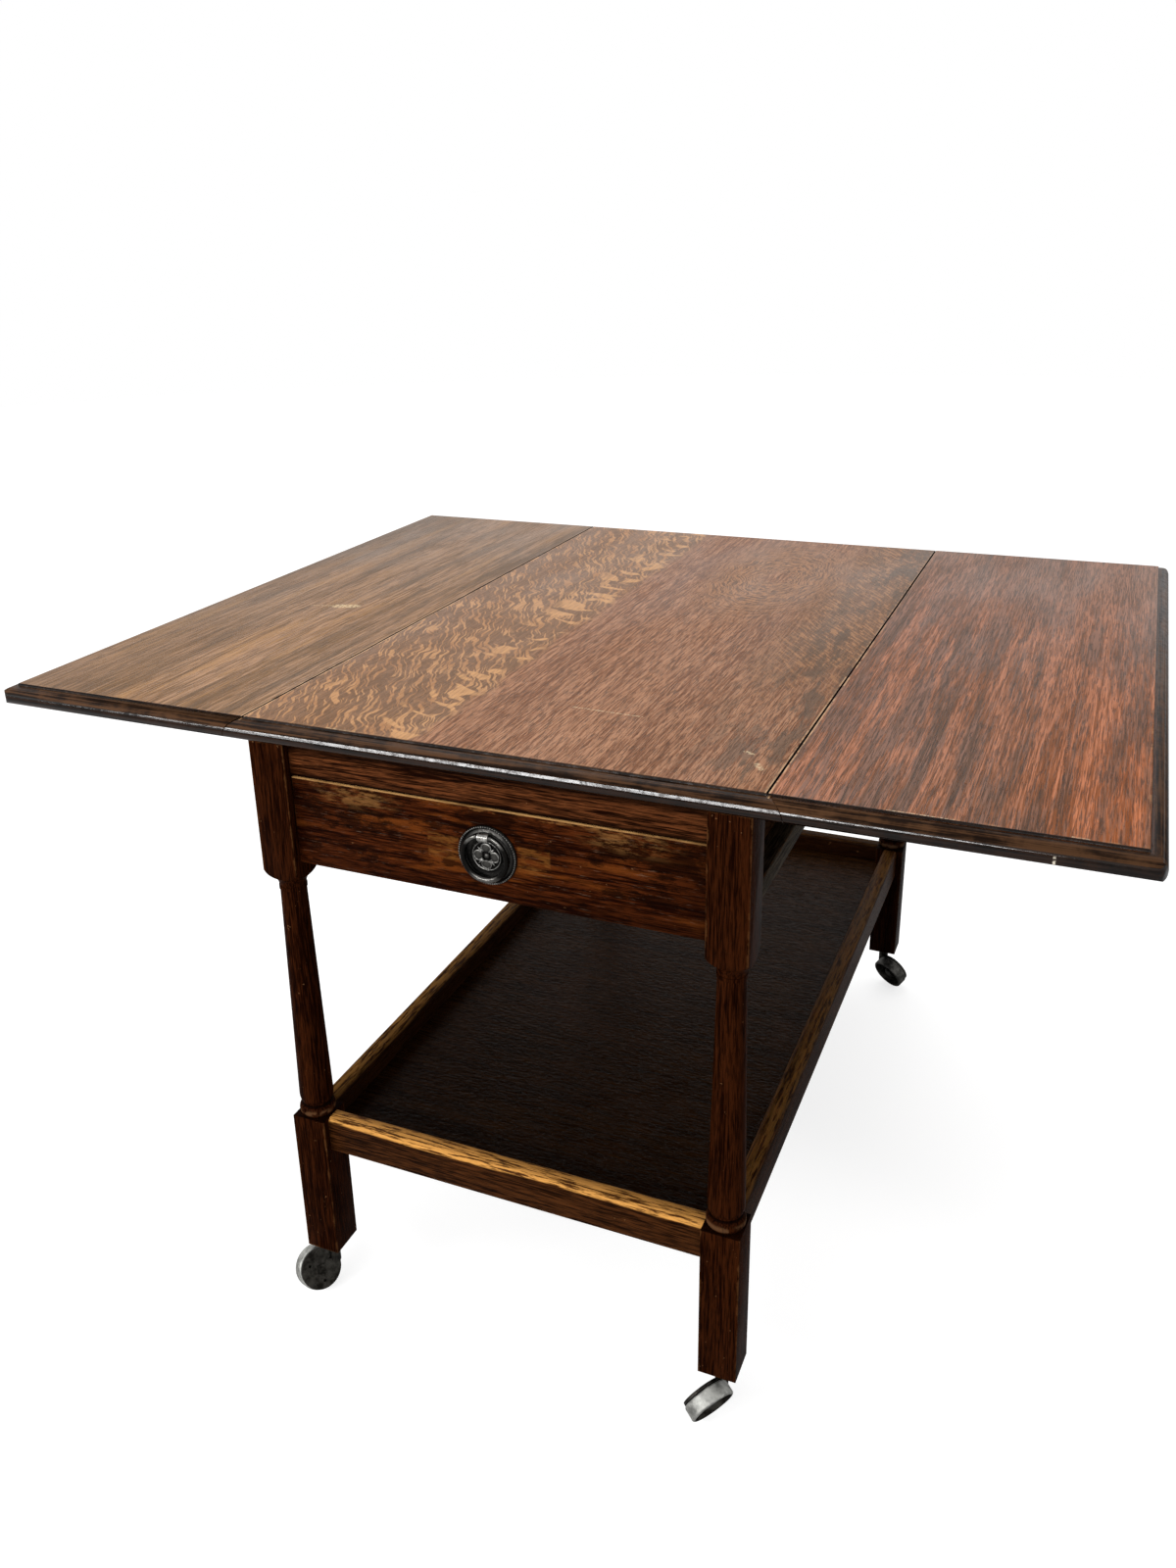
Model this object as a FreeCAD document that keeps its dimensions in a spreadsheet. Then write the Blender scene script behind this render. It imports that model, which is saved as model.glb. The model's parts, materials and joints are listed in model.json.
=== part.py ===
import FreeCAD, Part
import math
import os
import re
import Sketcher

os.makedirs("parts", exist_ok=True)
doc = FreeCAD.newDocument("TeaTrolley")
X_AXIS = FreeCAD.Vector(1, 0, 0)
Y_AXIS = FreeCAD.Vector(0, 1, 0)
Z_AXIS = FreeCAD.Vector(0, 0, 1)

# Driving dimensions, in millimetres and degrees
SIZES = {
    # top: centre board and two leaves, joined by rule joints
    "top_height": 675,
    "end_overhang": 5.5,
    "side_overhang": 8.5,
    "leaf_width": 292,
    "board_thick": 20,
    "mould_width": 13,
    "corner_round": 11,
    "quirk_step": 2.5,
    "quirk_flat": 2,
    "rule_lip": 2.5,
    "rule_radius": 16,
    "joint_gap": 0.8,
    # legs and frame
    "castor_height": 58,
    "leg_width": 38,
    "leg_span_x": 486,
    "leg_span_y": 876,
    "lower_block": 172,
    "upper_block": 131,
    "face_setback": 8,
    "rail_thick": 20,
    "frieze_height": 33.5,
    "apron_height": 125,
    "top_rail_setback": 18,
    "top_rail_thick": 18,
    "top_rail_height": 24,
    "side_bar_drop": 89,
    "side_bar_height": 21,
    "glue_block_leg": 24,
    "glue_block_length": 60,
    # tray
    "tray_rail_height": 39,
    "tray_rail_round": 5,
    "tray_depth": 24,
    "tray_floor_thick": 8,
    "tray_tongue": 5,
    "tray_groove": 5,
    "fit_gap": 0.3,
    # drawer
    "drawer_height": 90.5,
    "drawer_gap": 1,
    "drawer_front_thick": 18,
    "drawer_front_round": 2,
    "drawer_depth": 460,
    "drawer_side_thick": 12,
    "drawer_side_height": 84,
    "drawer_back_height": 66,
    "drawer_bottom_thick": 5,
    "drawer_bottom_lift": 8,
    "drawer_groove": 5,
    "drawer_lift": 2,
    "runner_height": 12,
    "runner_length": 480,
    "runner_bite": 6,
    # drawer pull
    "pull_radius": 29,
    "pull_thick": 2,
    "pull_rim": 1.7,
    "pull_dish_radius": 23,
    "boss_radius": 15,
    "boss_height": 3,
    "bud_radius": 3.4,
    "petal_circle": 8,
    "petal_reach": 4.4,
    "petal_width": 5,
    "petal_height": 1.4,
    "ring_radius": 21.5,
    "ring_wire": 2.2,
    "knuckle_length": 10,
    "knuckle_radius": 3.9,
    "post_radius": 2.6,
    "ring_stand": 2.6,
    # leaf hinges
    "hinge_end_gap": 60,
    "hinge_width": 40,
    "hinge_plate": 1.8,
    "plate_gap": 0.4,
    "hinge_short": 20,
    "hinge_long": 40,
    "hinge_knuckle": 3.2,
    "hinge_pin": 1.5,
    "hinge_clear": 0.8,
    "pin_fit": 0.04,
    # leaf stays
    "stay_reach": 150,
    "stay_fall": 101,
    "stay_inset": 9.5,
    "stay_width": 10,
    "stay_thick": 2.5,
    "stay_gap": 0.3,
    "stay_pin": 2.5,
    "stay_head": 1.2,
    "stay_head_radius": 3.8,
    "stay_lug": 3,
    "stay_plate": 1.6,
    "stay_plate_height": 17,
    "stay_plate_length": 30,
    # castors
    "wheel_radius": 24,
    "wheel_width": 15,
    "wheel_edge": 2,
    "wheel_wall": 3.2,
    "wheel_web": 2.6,
    "hub_radius": 7,
    "hub_length": 10.5,
    "axle_radius": 3.5,
    "axle_tilt": 25,
    "castor_trail": 19,
    "plate_radius": 22.6,
    "plate_thick": 2.8,
    "wheel_gap": 0.8,
    "neck_radius": 6.6,
    "neck_length": 30,
    "plate_hole": 1.6,
    "plate_hole_circle": 14,
    "pintle_radius": 4,
    "pintle_length": 34,
    "socket_wall": 2,
    "socket_length": 38,
    "axle_head": 8,
    "axle_head_thick": 2,
    "washer_radius": 5.6,
    "washer_thick": 1.4,
    # how far a cut runs past the piece it cuts
    "overrun": 5,
}

sheet = doc.addObject("Spreadsheet::Sheet", "Sizes")
for row, (name, value) in enumerate(SIZES.items(), start=1):
    sheet.set(f"A{row}", name)
    sheet.set(f"B{row}", str(value))
    sheet.setAlias(f"B{row}", name)
doc.recompute()

# Places that several pieces share, written in the sizes above
PLACES = {
    "top_length": "(leg_span_y + 2 * end_overhang)",
    "underside": "(top_height - board_thick)",
    "seam": "(leg_span_x / 2 + side_overhang)",
    "hinge_axis_z": "(top_height - rule_lip - rule_radius)",
    "knuckle_room": "(hinge_knuckle + hinge_clear)",
    "hinge_spacing": "(leg_span_y / 2 - leg_width - hinge_end_gap - hinge_width / 2)",
    "leg_x": "(leg_span_x / 2 - leg_width / 2)",
    "leg_y": "(leg_span_y / 2 - leg_width / 2)",
    "leg_in_x": "(leg_span_x / 2 - leg_width)",
    "leg_in_y": "(leg_span_y / 2 - leg_width)",
    "leg_length": "(top_height - board_thick - castor_height)",
    "socket_bore": "(pintle_radius + pin_fit)",
    "rail_face_x": "(leg_span_x / 2 - face_setback)",
    "rail_face_y": "(leg_span_y / 2 - face_setback)",
    "tray_top": "(castor_height + lower_block)",
    "tray_floor_top": "(castor_height + lower_block - tray_depth)",
    "side_bar_top": "(top_height - board_thick - side_bar_drop)",
    "runner_z": "(top_height - board_thick - side_bar_drop - side_bar_height / 2)",
    "drawer_top": "(top_height - board_thick - frieze_height - drawer_gap)",
    "drawer_low": "(top_height - board_thick - frieze_height - drawer_gap - drawer_height)",
    "drawer_half": "(leg_span_x / 2 - leg_width - drawer_gap)",
    "drawer_back_y": "(drawer_depth - leg_span_y / 2 + face_setback)",
    "pull_z": "(top_height - board_thick - frieze_height - drawer_gap - drawer_height / 2)",
    "stay_open": "sqrt((stay_reach + stay_inset)^2 + (stay_fall - stay_inset)^2)",
    "stay_long": "((stay_open + stay_reach - stay_fall) / 2)",
    "stay_short": "((stay_open - stay_reach + stay_fall) / 2)",
}


def bound(text):
    """Write an expression of sizes and places as one the document understands."""
    def spell(word):
        name = word.group()
        if name in PLACES:
            return bound(PLACES[name])
        return f"Sizes.{name}" if name in SIZES else name

    return re.sub(r"\b[a-z_]+\b", spell, text)


def size(text):
    """The present value of an expression of sizes and places."""
    value = sheet.evalExpression(bound(text))
    return float(getattr(value, "Value", value))


def origin_plane(body, role):
    return next(part for part in body.Origin.OriginFeatures if part.Role == role)


def new_body(label):
    body = doc.addObject("PartDesign::Body", label)
    body.Label = label
    return body


def outline(body, role, *loops):
    """A sketch of closed loops. A corner is (across, up); one that an arc follows adds (radius, side)."""
    sketch = body.newObject("Sketcher::SketchObject", f"{body.Name}_outline")
    sketch.AttachmentSupport = (origin_plane(body, role), "")
    sketch.MapMode = "FlatFace"
    for corners in loops:
        draw_loop(sketch, corners)
    return sketch


def draw_loop(sketch, corners):
    """Draw one closed loop and tie each corner and radius to the sizes."""
    first = sketch.GeometryCount
    spots = [FreeCAD.Vector(size(corner[0]), size(corner[1]), 0) for corner in corners]
    ends = [(2, 1) if len(corner) > 2 and corner[3] < 0 else (1, 2) for corner in corners]
    for index, corner in enumerate(corners):
        following = (index + 1) % len(corners)
        sketch.addGeometry(edge_between(spots[index], spots[following], corner), False)
    for index, corner in enumerate(corners):
        here = first + index
        start, end = ends[index]
        following = (index + 1) % len(corners)
        next_start = ends[following][0]
        sketch.addConstraint(Sketcher.Constraint("Coincident", here, end, first + following, next_start))
        tie(sketch, Sketcher.Constraint("DistanceX", here, start, spots[index].x), corner[0])
        tie(sketch, Sketcher.Constraint("DistanceY", here, start, spots[index].y), corner[1])
        if len(corner) > 2:
            tie(sketch, Sketcher.Constraint("Radius", here, size(corner[2])), corner[2])


def tie(sketch, constraint, text):
    number = sketch.addConstraint(constraint)
    sketch.setExpression(f"Constraints[{number}]", bound(text))


def edge_between(start, end, corner):
    """A straight edge, or an arc that turns left (side 1) or right (side -1) on its way to the end."""
    if len(corner) == 2:
        return Part.LineSegment(start, end)
    radius = size(corner[2])
    side = corner[3]
    chord = end - start
    middle = (start + end) / 2
    rise = math.sqrt(max(radius ** 2 - (chord.Length / 2) ** 2, 0))
    centre = middle + FreeCAD.Vector(-chord.y, chord.x, 0) / chord.Length * rise * side
    first = math.atan2(start.y - centre.y, start.x - centre.x)
    last = math.atan2(end.y - centre.y, end.x - centre.x)
    circle = Part.Circle(centre, Z_AXIS, radius)
    if side < 0:
        first, last = last, first
    return Part.ArcOfCircle(circle, first, last)


def pad(body, sketch, length, middle=True):
    feature = body.newObject("PartDesign::Pad", f"{body.Name}_pad")
    feature.Profile = sketch
    feature.setExpression("Length", bound(length))
    feature.Midplane = middle
    return feature


def pocket(body, sketch):
    """Cut an outline right through the body, both ways."""
    feature = body.newObject("PartDesign::Pocket", f"{body.Name}_cut")
    feature.Profile = sketch
    feature.Type = "ThroughAll"
    feature.Midplane = True
    return feature


def spin(body, sketch, axis, cut=False):
    """Turn an outline full circle about one of the sketch's own axes."""
    kind = "PartDesign::Groove" if cut else "PartDesign::Revolution"
    feature = body.newObject(kind, f"{body.Name}_turned")
    feature.Profile = sketch
    feature.ReferenceAxis = (sketch, [axis])
    feature.Angle = 360
    return feature


def place(item, across, deep, up):
    for name, text in (("x", across), ("y", deep), ("z", up)):
        item.setExpression(f"Placement.Base.{name}", bound(text))
    return item


def block(label, low, high):
    """A plain board between two corners, each an (x, y, z) of expressions."""
    item = doc.addObject("Part::Box", label)
    item.Label = label
    for name, start, end in zip(("Length", "Width", "Height"), low, high):
        item.setExpression(name, bound(f"({end}) - ({start})"))
    return place(item, *low)


def rod(label, radius, length, centre, axis=Z_AXIS):
    """A round bar from a centre (x, y, z) of expressions along an axis."""
    item = doc.addObject("Part::Cylinder", label)
    item.Label = label
    item.setExpression("Radius", bound(radius))
    item.setExpression("Height", bound(length))
    item.Placement = FreeCAD.Placement(FreeCAD.Vector(), FreeCAD.Rotation(Z_AXIS, axis))
    return place(item, *centre)


def joined(label, *items):
    item = doc.addObject("Part::MultiFuse", label)
    item.Label = label
    item.Shapes = list(items)
    return item


def cut(label, base, *tools):
    tool = tools[0] if len(tools) == 1 else joined(f"{label}_tools", *tools)
    item = doc.addObject("Part::Cut", label)
    item.Label = label
    item.Base = base
    item.Tool = tool
    return item


def group(label, items):
    """Several separate solids that make one node."""
    item = doc.addObject("Part::Compound", label)
    item.Label = label
    item.Links = list(items)
    return item


def mirrored(label, source, normal=X_AXIS):
    item = doc.addObject("Part::Mirroring", label)
    item.Label = label
    item.Source = source
    item.Normal = normal
    return item


NODES = []


def keep(*items):
    NODES.extend(items)
    return items[0]


def keep_pair(right_item):
    """Keep a piece of the right side and its mirror image on the left."""
    name = right_item.Label
    keep(right_item, mirrored(name.replace("right", "left"), right_item))


# Moulded edge: a small step down from the field, then a quarter round and a rounded lower edge
MOULD_ROUND = "(mould_width - quirk_flat)"
UNDER_ROUND = "(board_thick - quirk_step - mould_width + quirk_flat)"


def moulded_edge(edge, way):
    """Corners of the moulding, from the field down to the underside; way is 1 towards +, -1 towards -."""
    sign = "-" if way > 0 else "+"
    step = f"{edge} {sign} mould_width"
    return [
        (step, "top_height"),
        (step, "top_height - quirk_step"),
        (f"{step} {'+' if way > 0 else '-'} quirk_flat", "top_height - quirk_step", MOULD_ROUND, -way),
        (edge, f"top_height - quirk_step - {MOULD_ROUND}", UNDER_ROUND, -way),
        (f"{edge} {sign} {UNDER_ROUND}", "underside"),
    ]


def end_waste(way):
    """What is cut away outside the moulding at one end of a board."""
    edge = "top_length / 2" if way > 0 else "-top_length / 2"
    out = f"{edge} + overrun" if way > 0 else f"{edge} - overrun"
    return moulded_edge(edge, way) + [
        (f"{edge} {'-' if way > 0 else '+'} {UNDER_ROUND}", "underside - overrun"),
        (out, "underside - overrun"),
        (out, "top_height + overrun"),
        (f"{edge} {'-' if way > 0 else '+'} mould_width", "top_height + overrun"),
    ]


# Centre board: rounded rule joint along both sides, moulded ends, slots for the hinge knuckles
top = new_body("top_board")
side_right = [
    ("seam", "top_height"),
    ("seam", "top_height - rule_lip", "rule_radius", -1),
    ("seam + rule_radius", "hinge_axis_z"),
    ("seam + rule_radius", "underside"),
]
side_left = [
    ("-seam - rule_radius", "underside"),
    ("-seam - rule_radius", "hinge_axis_z", "rule_radius", -1),
    ("-seam", "top_height - rule_lip"),
    ("-seam", "top_height"),
]
pad(top, outline(top, "XZ_Plane", side_right + side_left), "top_length")
pocket(top, outline(top, "YZ_Plane", end_waste(1), end_waste(-1)))
HINGE_ROWS = ("-hinge_spacing", "0", "hinge_spacing")
slots = []
for row, middle in enumerate(HINGE_ROWS):
    half_slot = "(hinge_width / 2 + hinge_clear)"
    for side in (1, -1):
        slots.append(block(
            f"knuckle_slot_{row}_{side}",
            (f"{side} * seam - knuckle_room", f"{middle} - {half_slot}", "underside - overrun"),
            (f"{side} * seam + knuckle_room", f"{middle} + {half_slot}", "hinge_axis_z + knuckle_room"),
        ))
top.Label = "top_blank"
keep(cut("top_board", top, *slots))

# Leaves: hollowed along the seam to ride round the rule joint, moulded on the other three sides
COVE = "(rule_radius + joint_gap)"


def corner_waste(way):
    """What is cut away to round an outer corner of the leaf; way is 1 at the rear, -1 at the front."""
    edge_x = "seam + leaf_width"
    edge_y = f"{way} * top_length / 2"
    return [
        (edge_x, f"{edge_y} - {way} * corner_round", "corner_round", way),
        (f"{edge_x} - corner_round", edge_y),
        (f"{edge_x} - corner_round", f"{edge_y} + {way} * overrun"),
        (f"{edge_x} + overrun", f"{edge_y} + {way} * overrun"),
        (f"{edge_x} + overrun", f"{edge_y} - {way} * corner_round"),
    ]


leaf = new_body("right_leaf")
leaf_outline = [("seam + joint_gap", "top_height")]
leaf_outline += moulded_edge("seam + leaf_width", 1)
leaf_outline += [
    (f"seam + {COVE}", "underside"),
    (f"seam + {COVE}", "hinge_axis_z", COVE, 1),
    ("seam + joint_gap", f"hinge_axis_z + sqrt({COVE}^2 - joint_gap^2)"),
]
pad(leaf, outline(leaf, "XZ_Plane", leaf_outline), "top_length")
pocket(leaf, outline(leaf, "YZ_Plane", end_waste(1), end_waste(-1)))
pocket(leaf, outline(leaf, "XY_Plane", corner_waste(1), corner_waste(-1)))
keep_pair(leaf)

# Legs: square blank, turned between its two blocks, bored for the castor socket
HALF = "(leg_width / 2)"
# Corners of what the lathe takes away, in shares of half the leg's width: how far out, and how far along
FOOT_TURNING = [
    (0.816, 0.000, 0.41, 1),
    (0.816, 0.681),
    (0.790, 0.758, 0.95, 1),
    (0.930, 1.269),
]
NECK_TURNING = [
    (0.684, 1.470),
    (0.726, 1.470),
    (0.726, 1.284),
    (0.695, 1.284, 0.787, -1),
    (0.979, 0.681, 0.734, 1),
    (1.447, 0.000),
    (1.550, 0.000),
]


def turned_corner(level, radius_share, height_share, arc_share=None, side=None):
    """One corner of the turning, above the lower block or below the upper one."""
    corner = (f"{radius_share} * {HALF}", f"{level} {height_share} * {HALF}")
    return corner if arc_share is None else corner + (f"{arc_share} * {HALF}", side)


leg = new_body("leg_front_right_blank")
square = [(f"-{HALF}", f"-{HALF}"), (HALF, f"-{HALF}"), (HALF, HALF), (f"-{HALF}", HALF)]
pad(leg, outline(leg, "XY_Plane", square), "leg_length", middle=False)
turning = [turned_corner("lower_block +", *shares) for shares in FOOT_TURNING]
turning += [turned_corner("leg_length - upper_block -", *shares) for shares in NECK_TURNING]
turning.append((turning[-1][0], "lower_block"))
spin(leg, outline(leg, "XZ_Plane", turning), "V_Axis", cut=True)
place(leg, "leg_x", "-leg_y", "castor_height")
bore = rod("leg_bore", "socket_bore + socket_wall + pin_fit", "socket_length + overrun",
           ("leg_x", "-leg_y", "castor_height - overrun"))
front_right = cut("leg_front_right", leg, bore)
front_left = mirrored("leg_front_left", front_right)
rear_right = mirrored("leg_rear_right", front_right, Y_AXIS)
rear_left = mirrored("leg_rear_left", front_left, Y_AXIS)
keep(front_right, front_left, rear_right, rear_left)

# Frame rails between the legs
keep(block("frieze_rail", ("-leg_in_x", "-rail_face_y", "underside - frieze_height"),
           ("leg_in_x", "-rail_face_y + rail_thick", "underside")))
keep(block("rear_apron", ("-leg_in_x", "rail_face_y - rail_thick", "underside - apron_height"),
           ("leg_in_x", "rail_face_y", "underside")))
TOP_RAIL_FACE = "leg_span_x / 2 - top_rail_setback"
keep_pair(block(
    "top_rail_right",
    (f"{TOP_RAIL_FACE} - top_rail_thick", "-leg_in_y", "underside - top_rail_height"),
    (TOP_RAIL_FACE, "leg_in_y", "underside"),
))
keep_pair(block(
    "side_bar_right",
    ("rail_face_x - rail_thick", "-leg_in_y", "side_bar_top - side_bar_height"),
    ("rail_face_x", "leg_in_y", "side_bar_top"),
))

# Glue blocks: three-cornered, in the angle between the top and the frieze rail or the rear apron
blocks = []
corners = [("0", "underside"), ("-glue_block_leg", "underside"), ("0", "underside - glue_block_leg")]
for side in (1, -1):
    glue = new_body(f"glue_block_{'right' if side > 0 else 'left'}")
    pad(glue, outline(glue, "YZ_Plane", corners), "glue_block_length")
    place(glue, f"{side} * leg_in_x / 2", "rail_face_y - rail_thick", "0")
    blocks += [glue, mirrored(f"{glue.Label}_front", glue, Y_AXIS)]
keep(group("glue_blocks", blocks))

# Tray rails: rounded tops, a groove inside for the floor
TRAY_FLOOR_LOW = "tray_floor_top - tray_floor_thick"
GROOVE_LOW = f"{TRAY_FLOOR_LOW} - fit_gap / 2"
GROOVE_HIGH = f"{TRAY_FLOOR_LOW} + tray_tongue + fit_gap / 2"


def tray_section(face):
    """Cross-section of a tray rail whose outer face is given; it lies inwards of that face."""
    inner = f"{face} - rail_thick"
    low = "tray_top - tray_rail_height"
    return [
        (inner, low),
        (face, low),
        (face, "tray_top - tray_rail_round", "tray_rail_round", 1),
        (f"{face} - tray_rail_round", "tray_top"),
        (f"{inner} + tray_rail_round", "tray_top", "tray_rail_round", 1),
        (inner, "tray_top - tray_rail_round"),
        (inner, GROOVE_HIGH),
        (f"{inner} + tray_groove", GROOVE_HIGH),
        (f"{inner} + tray_groove", GROOVE_LOW),
        (inner, GROOVE_LOW),
    ]


tray_right = new_body("tray_rail_right")
pad(tray_right, outline(tray_right, "XZ_Plane", tray_section("rail_face_x")), "2 * leg_in_y")
keep_pair(tray_right)
tray_rear = new_body("tray_rail_rear")
pad(tray_rear, outline(tray_rear, "YZ_Plane", tray_section("rail_face_y")), "2 * leg_in_x")
keep(tray_rear, mirrored("tray_rail_front", tray_rear, Y_AXIS))

# Tray floor: a tongue let into the grooves, a raised field between the rails, both notched round the legs
def tray_outline(reach_x, reach_y):
    """Outline of the floor that reaches so far to each side and end, with a notch at each leg."""
    notch_x = "leg_in_x - fit_gap"
    notch_y = "leg_in_y - fit_gap"
    quarter = [(reach_x, notch_y), (notch_x, notch_y), (notch_x, reach_y)]
    corners = quarter + [(f"-({x})", y) for x, y in reversed(quarter)]
    corners += [(f"-({x})", f"-({y})") for x, y in quarter]
    return corners + [(x, f"-({y})") for x, y in reversed(quarter)]


field_x = "rail_face_x - rail_thick - fit_gap"
field_y = "rail_face_y - rail_thick - fit_gap"
tray_floor = new_body("tray_floor")
tongue_outline = tray_outline(f"{field_x} + tray_groove", f"{field_y} + tray_groove")
tongue = outline(tray_floor, "XY_Plane", tongue_outline)
pad(tray_floor, tongue, "tray_tongue", middle=False)
field = outline(tray_floor, "XY_Plane", tray_outline(field_x, field_y))
pad(tray_floor, field, "tray_floor_thick", middle=False)
place(tray_floor, "0", "0", TRAY_FLOOR_LOW)
keep(tray_floor)

# Drawer: front with eased edges, grooved sides that hang on runners, back, bottom let into grooves
front = new_body("drawer_front")
face = "-rail_face_y"
behind = "-rail_face_y + drawer_front_thick"
front_section = [
    (behind, "drawer_low"),
    (behind, "drawer_top"),
    (f"{face} + drawer_front_round", "drawer_top", "drawer_front_round", 1),
    (face, "drawer_top - drawer_front_round"),
    (face, "drawer_low + drawer_front_round", "drawer_front_round", 1),
    (f"{face} + drawer_front_round", "drawer_low"),
]
pad(front, outline(front, "YZ_Plane", front_section), "2 * drawer_half")
BOTTOM_LOW = "(drawer_low + drawer_lift + drawer_bottom_lift)"
BOTTOM_TOP = f"({BOTTOM_LOW} + drawer_bottom_thick)"
SLOT_LOW = f"({BOTTOM_LOW} - fit_gap / 2)"
SLOT_TOP = f"({BOTTOM_TOP} + fit_gap / 2)"
front.Label = "drawer_front_blank"
groove_half = "(drawer_half - drawer_side_thick + drawer_groove)"
front_groove = block(
    "drawer_front_groove",
    (f"-{groove_half}", f"{behind} - drawer_groove", SLOT_LOW),
    (groove_half, f"{behind} + overrun", SLOT_TOP),
)
keep(cut("drawer_front", front, front_groove))

side_low = "drawer_low + drawer_lift"
side_out = "drawer_half - drawer_gap / 2"
side_in = f"{side_out} - drawer_side_thick"
runner_low = "runner_z - runner_height / 2 - fit_gap"
runner_high = "runner_z + runner_height / 2 + fit_gap"
side = new_body("drawer_side_right")
side_section = [
    (side_in, side_low),
    (side_out, side_low),
    (side_out, runner_low),
    (f"{side_out} - runner_bite", runner_low),
    (f"{side_out} - runner_bite", runner_high),
    (side_out, runner_high),
    (side_out, f"{side_low} + drawer_side_height"),
    (side_in, f"{side_low} + drawer_side_height"),
    (side_in, SLOT_TOP),
    (f"{side_in} + drawer_groove", SLOT_TOP),
    (f"{side_in} + drawer_groove", SLOT_LOW),
    (side_in, SLOT_LOW),
]
side_length = "drawer_depth - drawer_front_thick"
pad(side, outline(side, "XZ_Plane", side_section), side_length)
place(side, "0", f"{behind} + ({side_length}) / 2", "0")
keep_pair(side)
keep(block(
    "drawer_back",
    (f"-({side_in})", "drawer_back_y - drawer_side_thick", BOTTOM_TOP),
    (side_in, "drawer_back_y", f"{BOTTOM_TOP} + drawer_back_height"),
))
bottom_half = f"({side_in} + drawer_groove - fit_gap)"
keep(block(
    "drawer_bottom",
    (f"-{bottom_half}", f"{behind} - drawer_groove + fit_gap", BOTTOM_LOW),
    (bottom_half, "drawer_back_y", BOTTOM_TOP),
))

# Runner strips on the inside of the side bars
keep_pair(block("drawer_runner_right",
                (f"{side_out} - runner_bite + fit_gap", "-leg_in_y", "runner_z - runner_height / 2"),
                ("rail_face_x - rail_thick", "-leg_in_y + runner_length", "runner_z + runner_height / 2")))

# Drawer pull: dished back plate with a round rim, boss inside the ring, post and knuckle, hanging ring
PETALS = 4
plate = new_body("pull_plate")
plate_outline = [
    ("0", "0"),
    ("pull_radius", "0", "pull_rim", 1),
    ("pull_radius - pull_rim", "pull_rim"),
    ("pull_radius - 2 * pull_rim", "pull_thick / 2"),
    ("pull_dish_radius", "pull_thick"),
    ("pull_dish_radius - pull_rim", "pull_thick"),
    ("boss_radius + pull_rim", "pull_thick / 2"),
    ("0", "pull_thick / 2"),
]
spin(plate, outline(plate, "XZ_Plane", plate_outline), "V_Axis")
boss = new_body("pull_boss_disc")
BOSS_LOW = "pull_thick / 2"
LIP = "boss_height / 3"
boss_outline = [
    ("0", BOSS_LOW),
    ("boss_radius", BOSS_LOW),
    ("boss_radius", f"{BOSS_LOW} + {LIP}", LIP, 1),
    (f"boss_radius - {LIP}", f"{BOSS_LOW} + 2 * {LIP}", LIP, 1),
    (f"boss_radius - 2 * {LIP}", f"{BOSS_LOW} + {LIP}"),
    ("bud_radius", f"{BOSS_LOW} + {LIP}", f"(bud_radius^2 + (2 * {LIP})^2) / (4 * {LIP})", 1),
    ("0", f"{BOSS_LOW} + boss_height"),
]
spin(boss, outline(boss, "XZ_Plane", boss_outline), "V_Axis")
petals = []
for petal_number in range(PETALS):
    petal = doc.addObject("Part::Ellipsoid", f"pull_petal_{petal_number}")
    petal.setExpression("Radius1", bound("petal_height"))
    petal.setExpression("Radius2", bound("petal_reach"))
    petal.setExpression("Radius3", bound("petal_width"))
    around = FreeCAD.Rotation(Z_AXIS, 90 + 360 / PETALS * petal_number)
    out = around.multVec(X_AXIS) * size("petal_circle")
    petal.Placement = FreeCAD.Placement(out + Z_AXIS * size(f"{BOSS_LOW} + boss_height / 2"), around)
    petals.append(petal)
flower = joined("pull_boss", boss, *petals)
FACE_OUT = FreeCAD.Rotation(X_AXIS, 90)
for item in (plate, flower):
    item.Placement = FreeCAD.Placement(FreeCAD.Vector(), FACE_OUT)
    keep(place(item, "0", "-rail_face_y", "pull_z"))

ring_half = "knuckle_length / 2 + fit_gap + ring_wire"
ring_rise = f"sqrt(ring_radius^2 - ({ring_half})^2)"
ring_y = "-rail_face_y - pull_thick - ring_wire - ring_stand"
ring_bar_z = f"pull_z + {ring_rise}"
hoop = doc.addObject("Part::Torus", "ring_hoop")
hoop.setExpression("Radius1", bound("ring_radius"))
hoop.setExpression("Radius2", bound("ring_wire"))
hoop.setExpression("Angle3", bound(f"360 deg - 2 * asin(({ring_half}) / ring_radius)"))
hoop_start = 90 + math.degrees(math.asin(size(ring_half) / size("ring_radius")))
hoop.Placement = FreeCAD.Placement(FreeCAD.Vector(), FACE_OUT * FreeCAD.Rotation(Z_AXIS, hoop_start))
place(hoop, "0", ring_y, "pull_z")
bar = rod("ring_bar", "ring_wire", f"2 * ({ring_half})", (f"-({ring_half})", ring_y, ring_bar_z), X_AXIS)
elbows = []
for way in ("", "-"):
    elbow = doc.addObject("Part::Sphere", "ring_elbow")
    elbow.setExpression("Radius", bound("ring_wire"))
    elbows.append(place(elbow, f"{way}({ring_half})", ring_y, ring_bar_z))
keep(joined("pull_ring", hoop, bar, *elbows))
barrel = rod("knuckle_barrel", "knuckle_radius", "knuckle_length",
             ("-knuckle_length / 2", ring_y, ring_bar_z), X_AXIS)
stem = rod("knuckle_stem", "post_radius", "ring_wire + ring_stand", ("0", ring_y, ring_bar_z), Y_AXIS)
barrel_bore = rod("knuckle_bore", "ring_wire + pin_fit", "knuckle_length + 2 * overrun",
                  ("-knuckle_length / 2 - overrun", ring_y, ring_bar_z), X_AXIS)
keep(cut("pull_post", joined("pull_post_blank", barrel, stem), barrel_bore))

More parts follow.
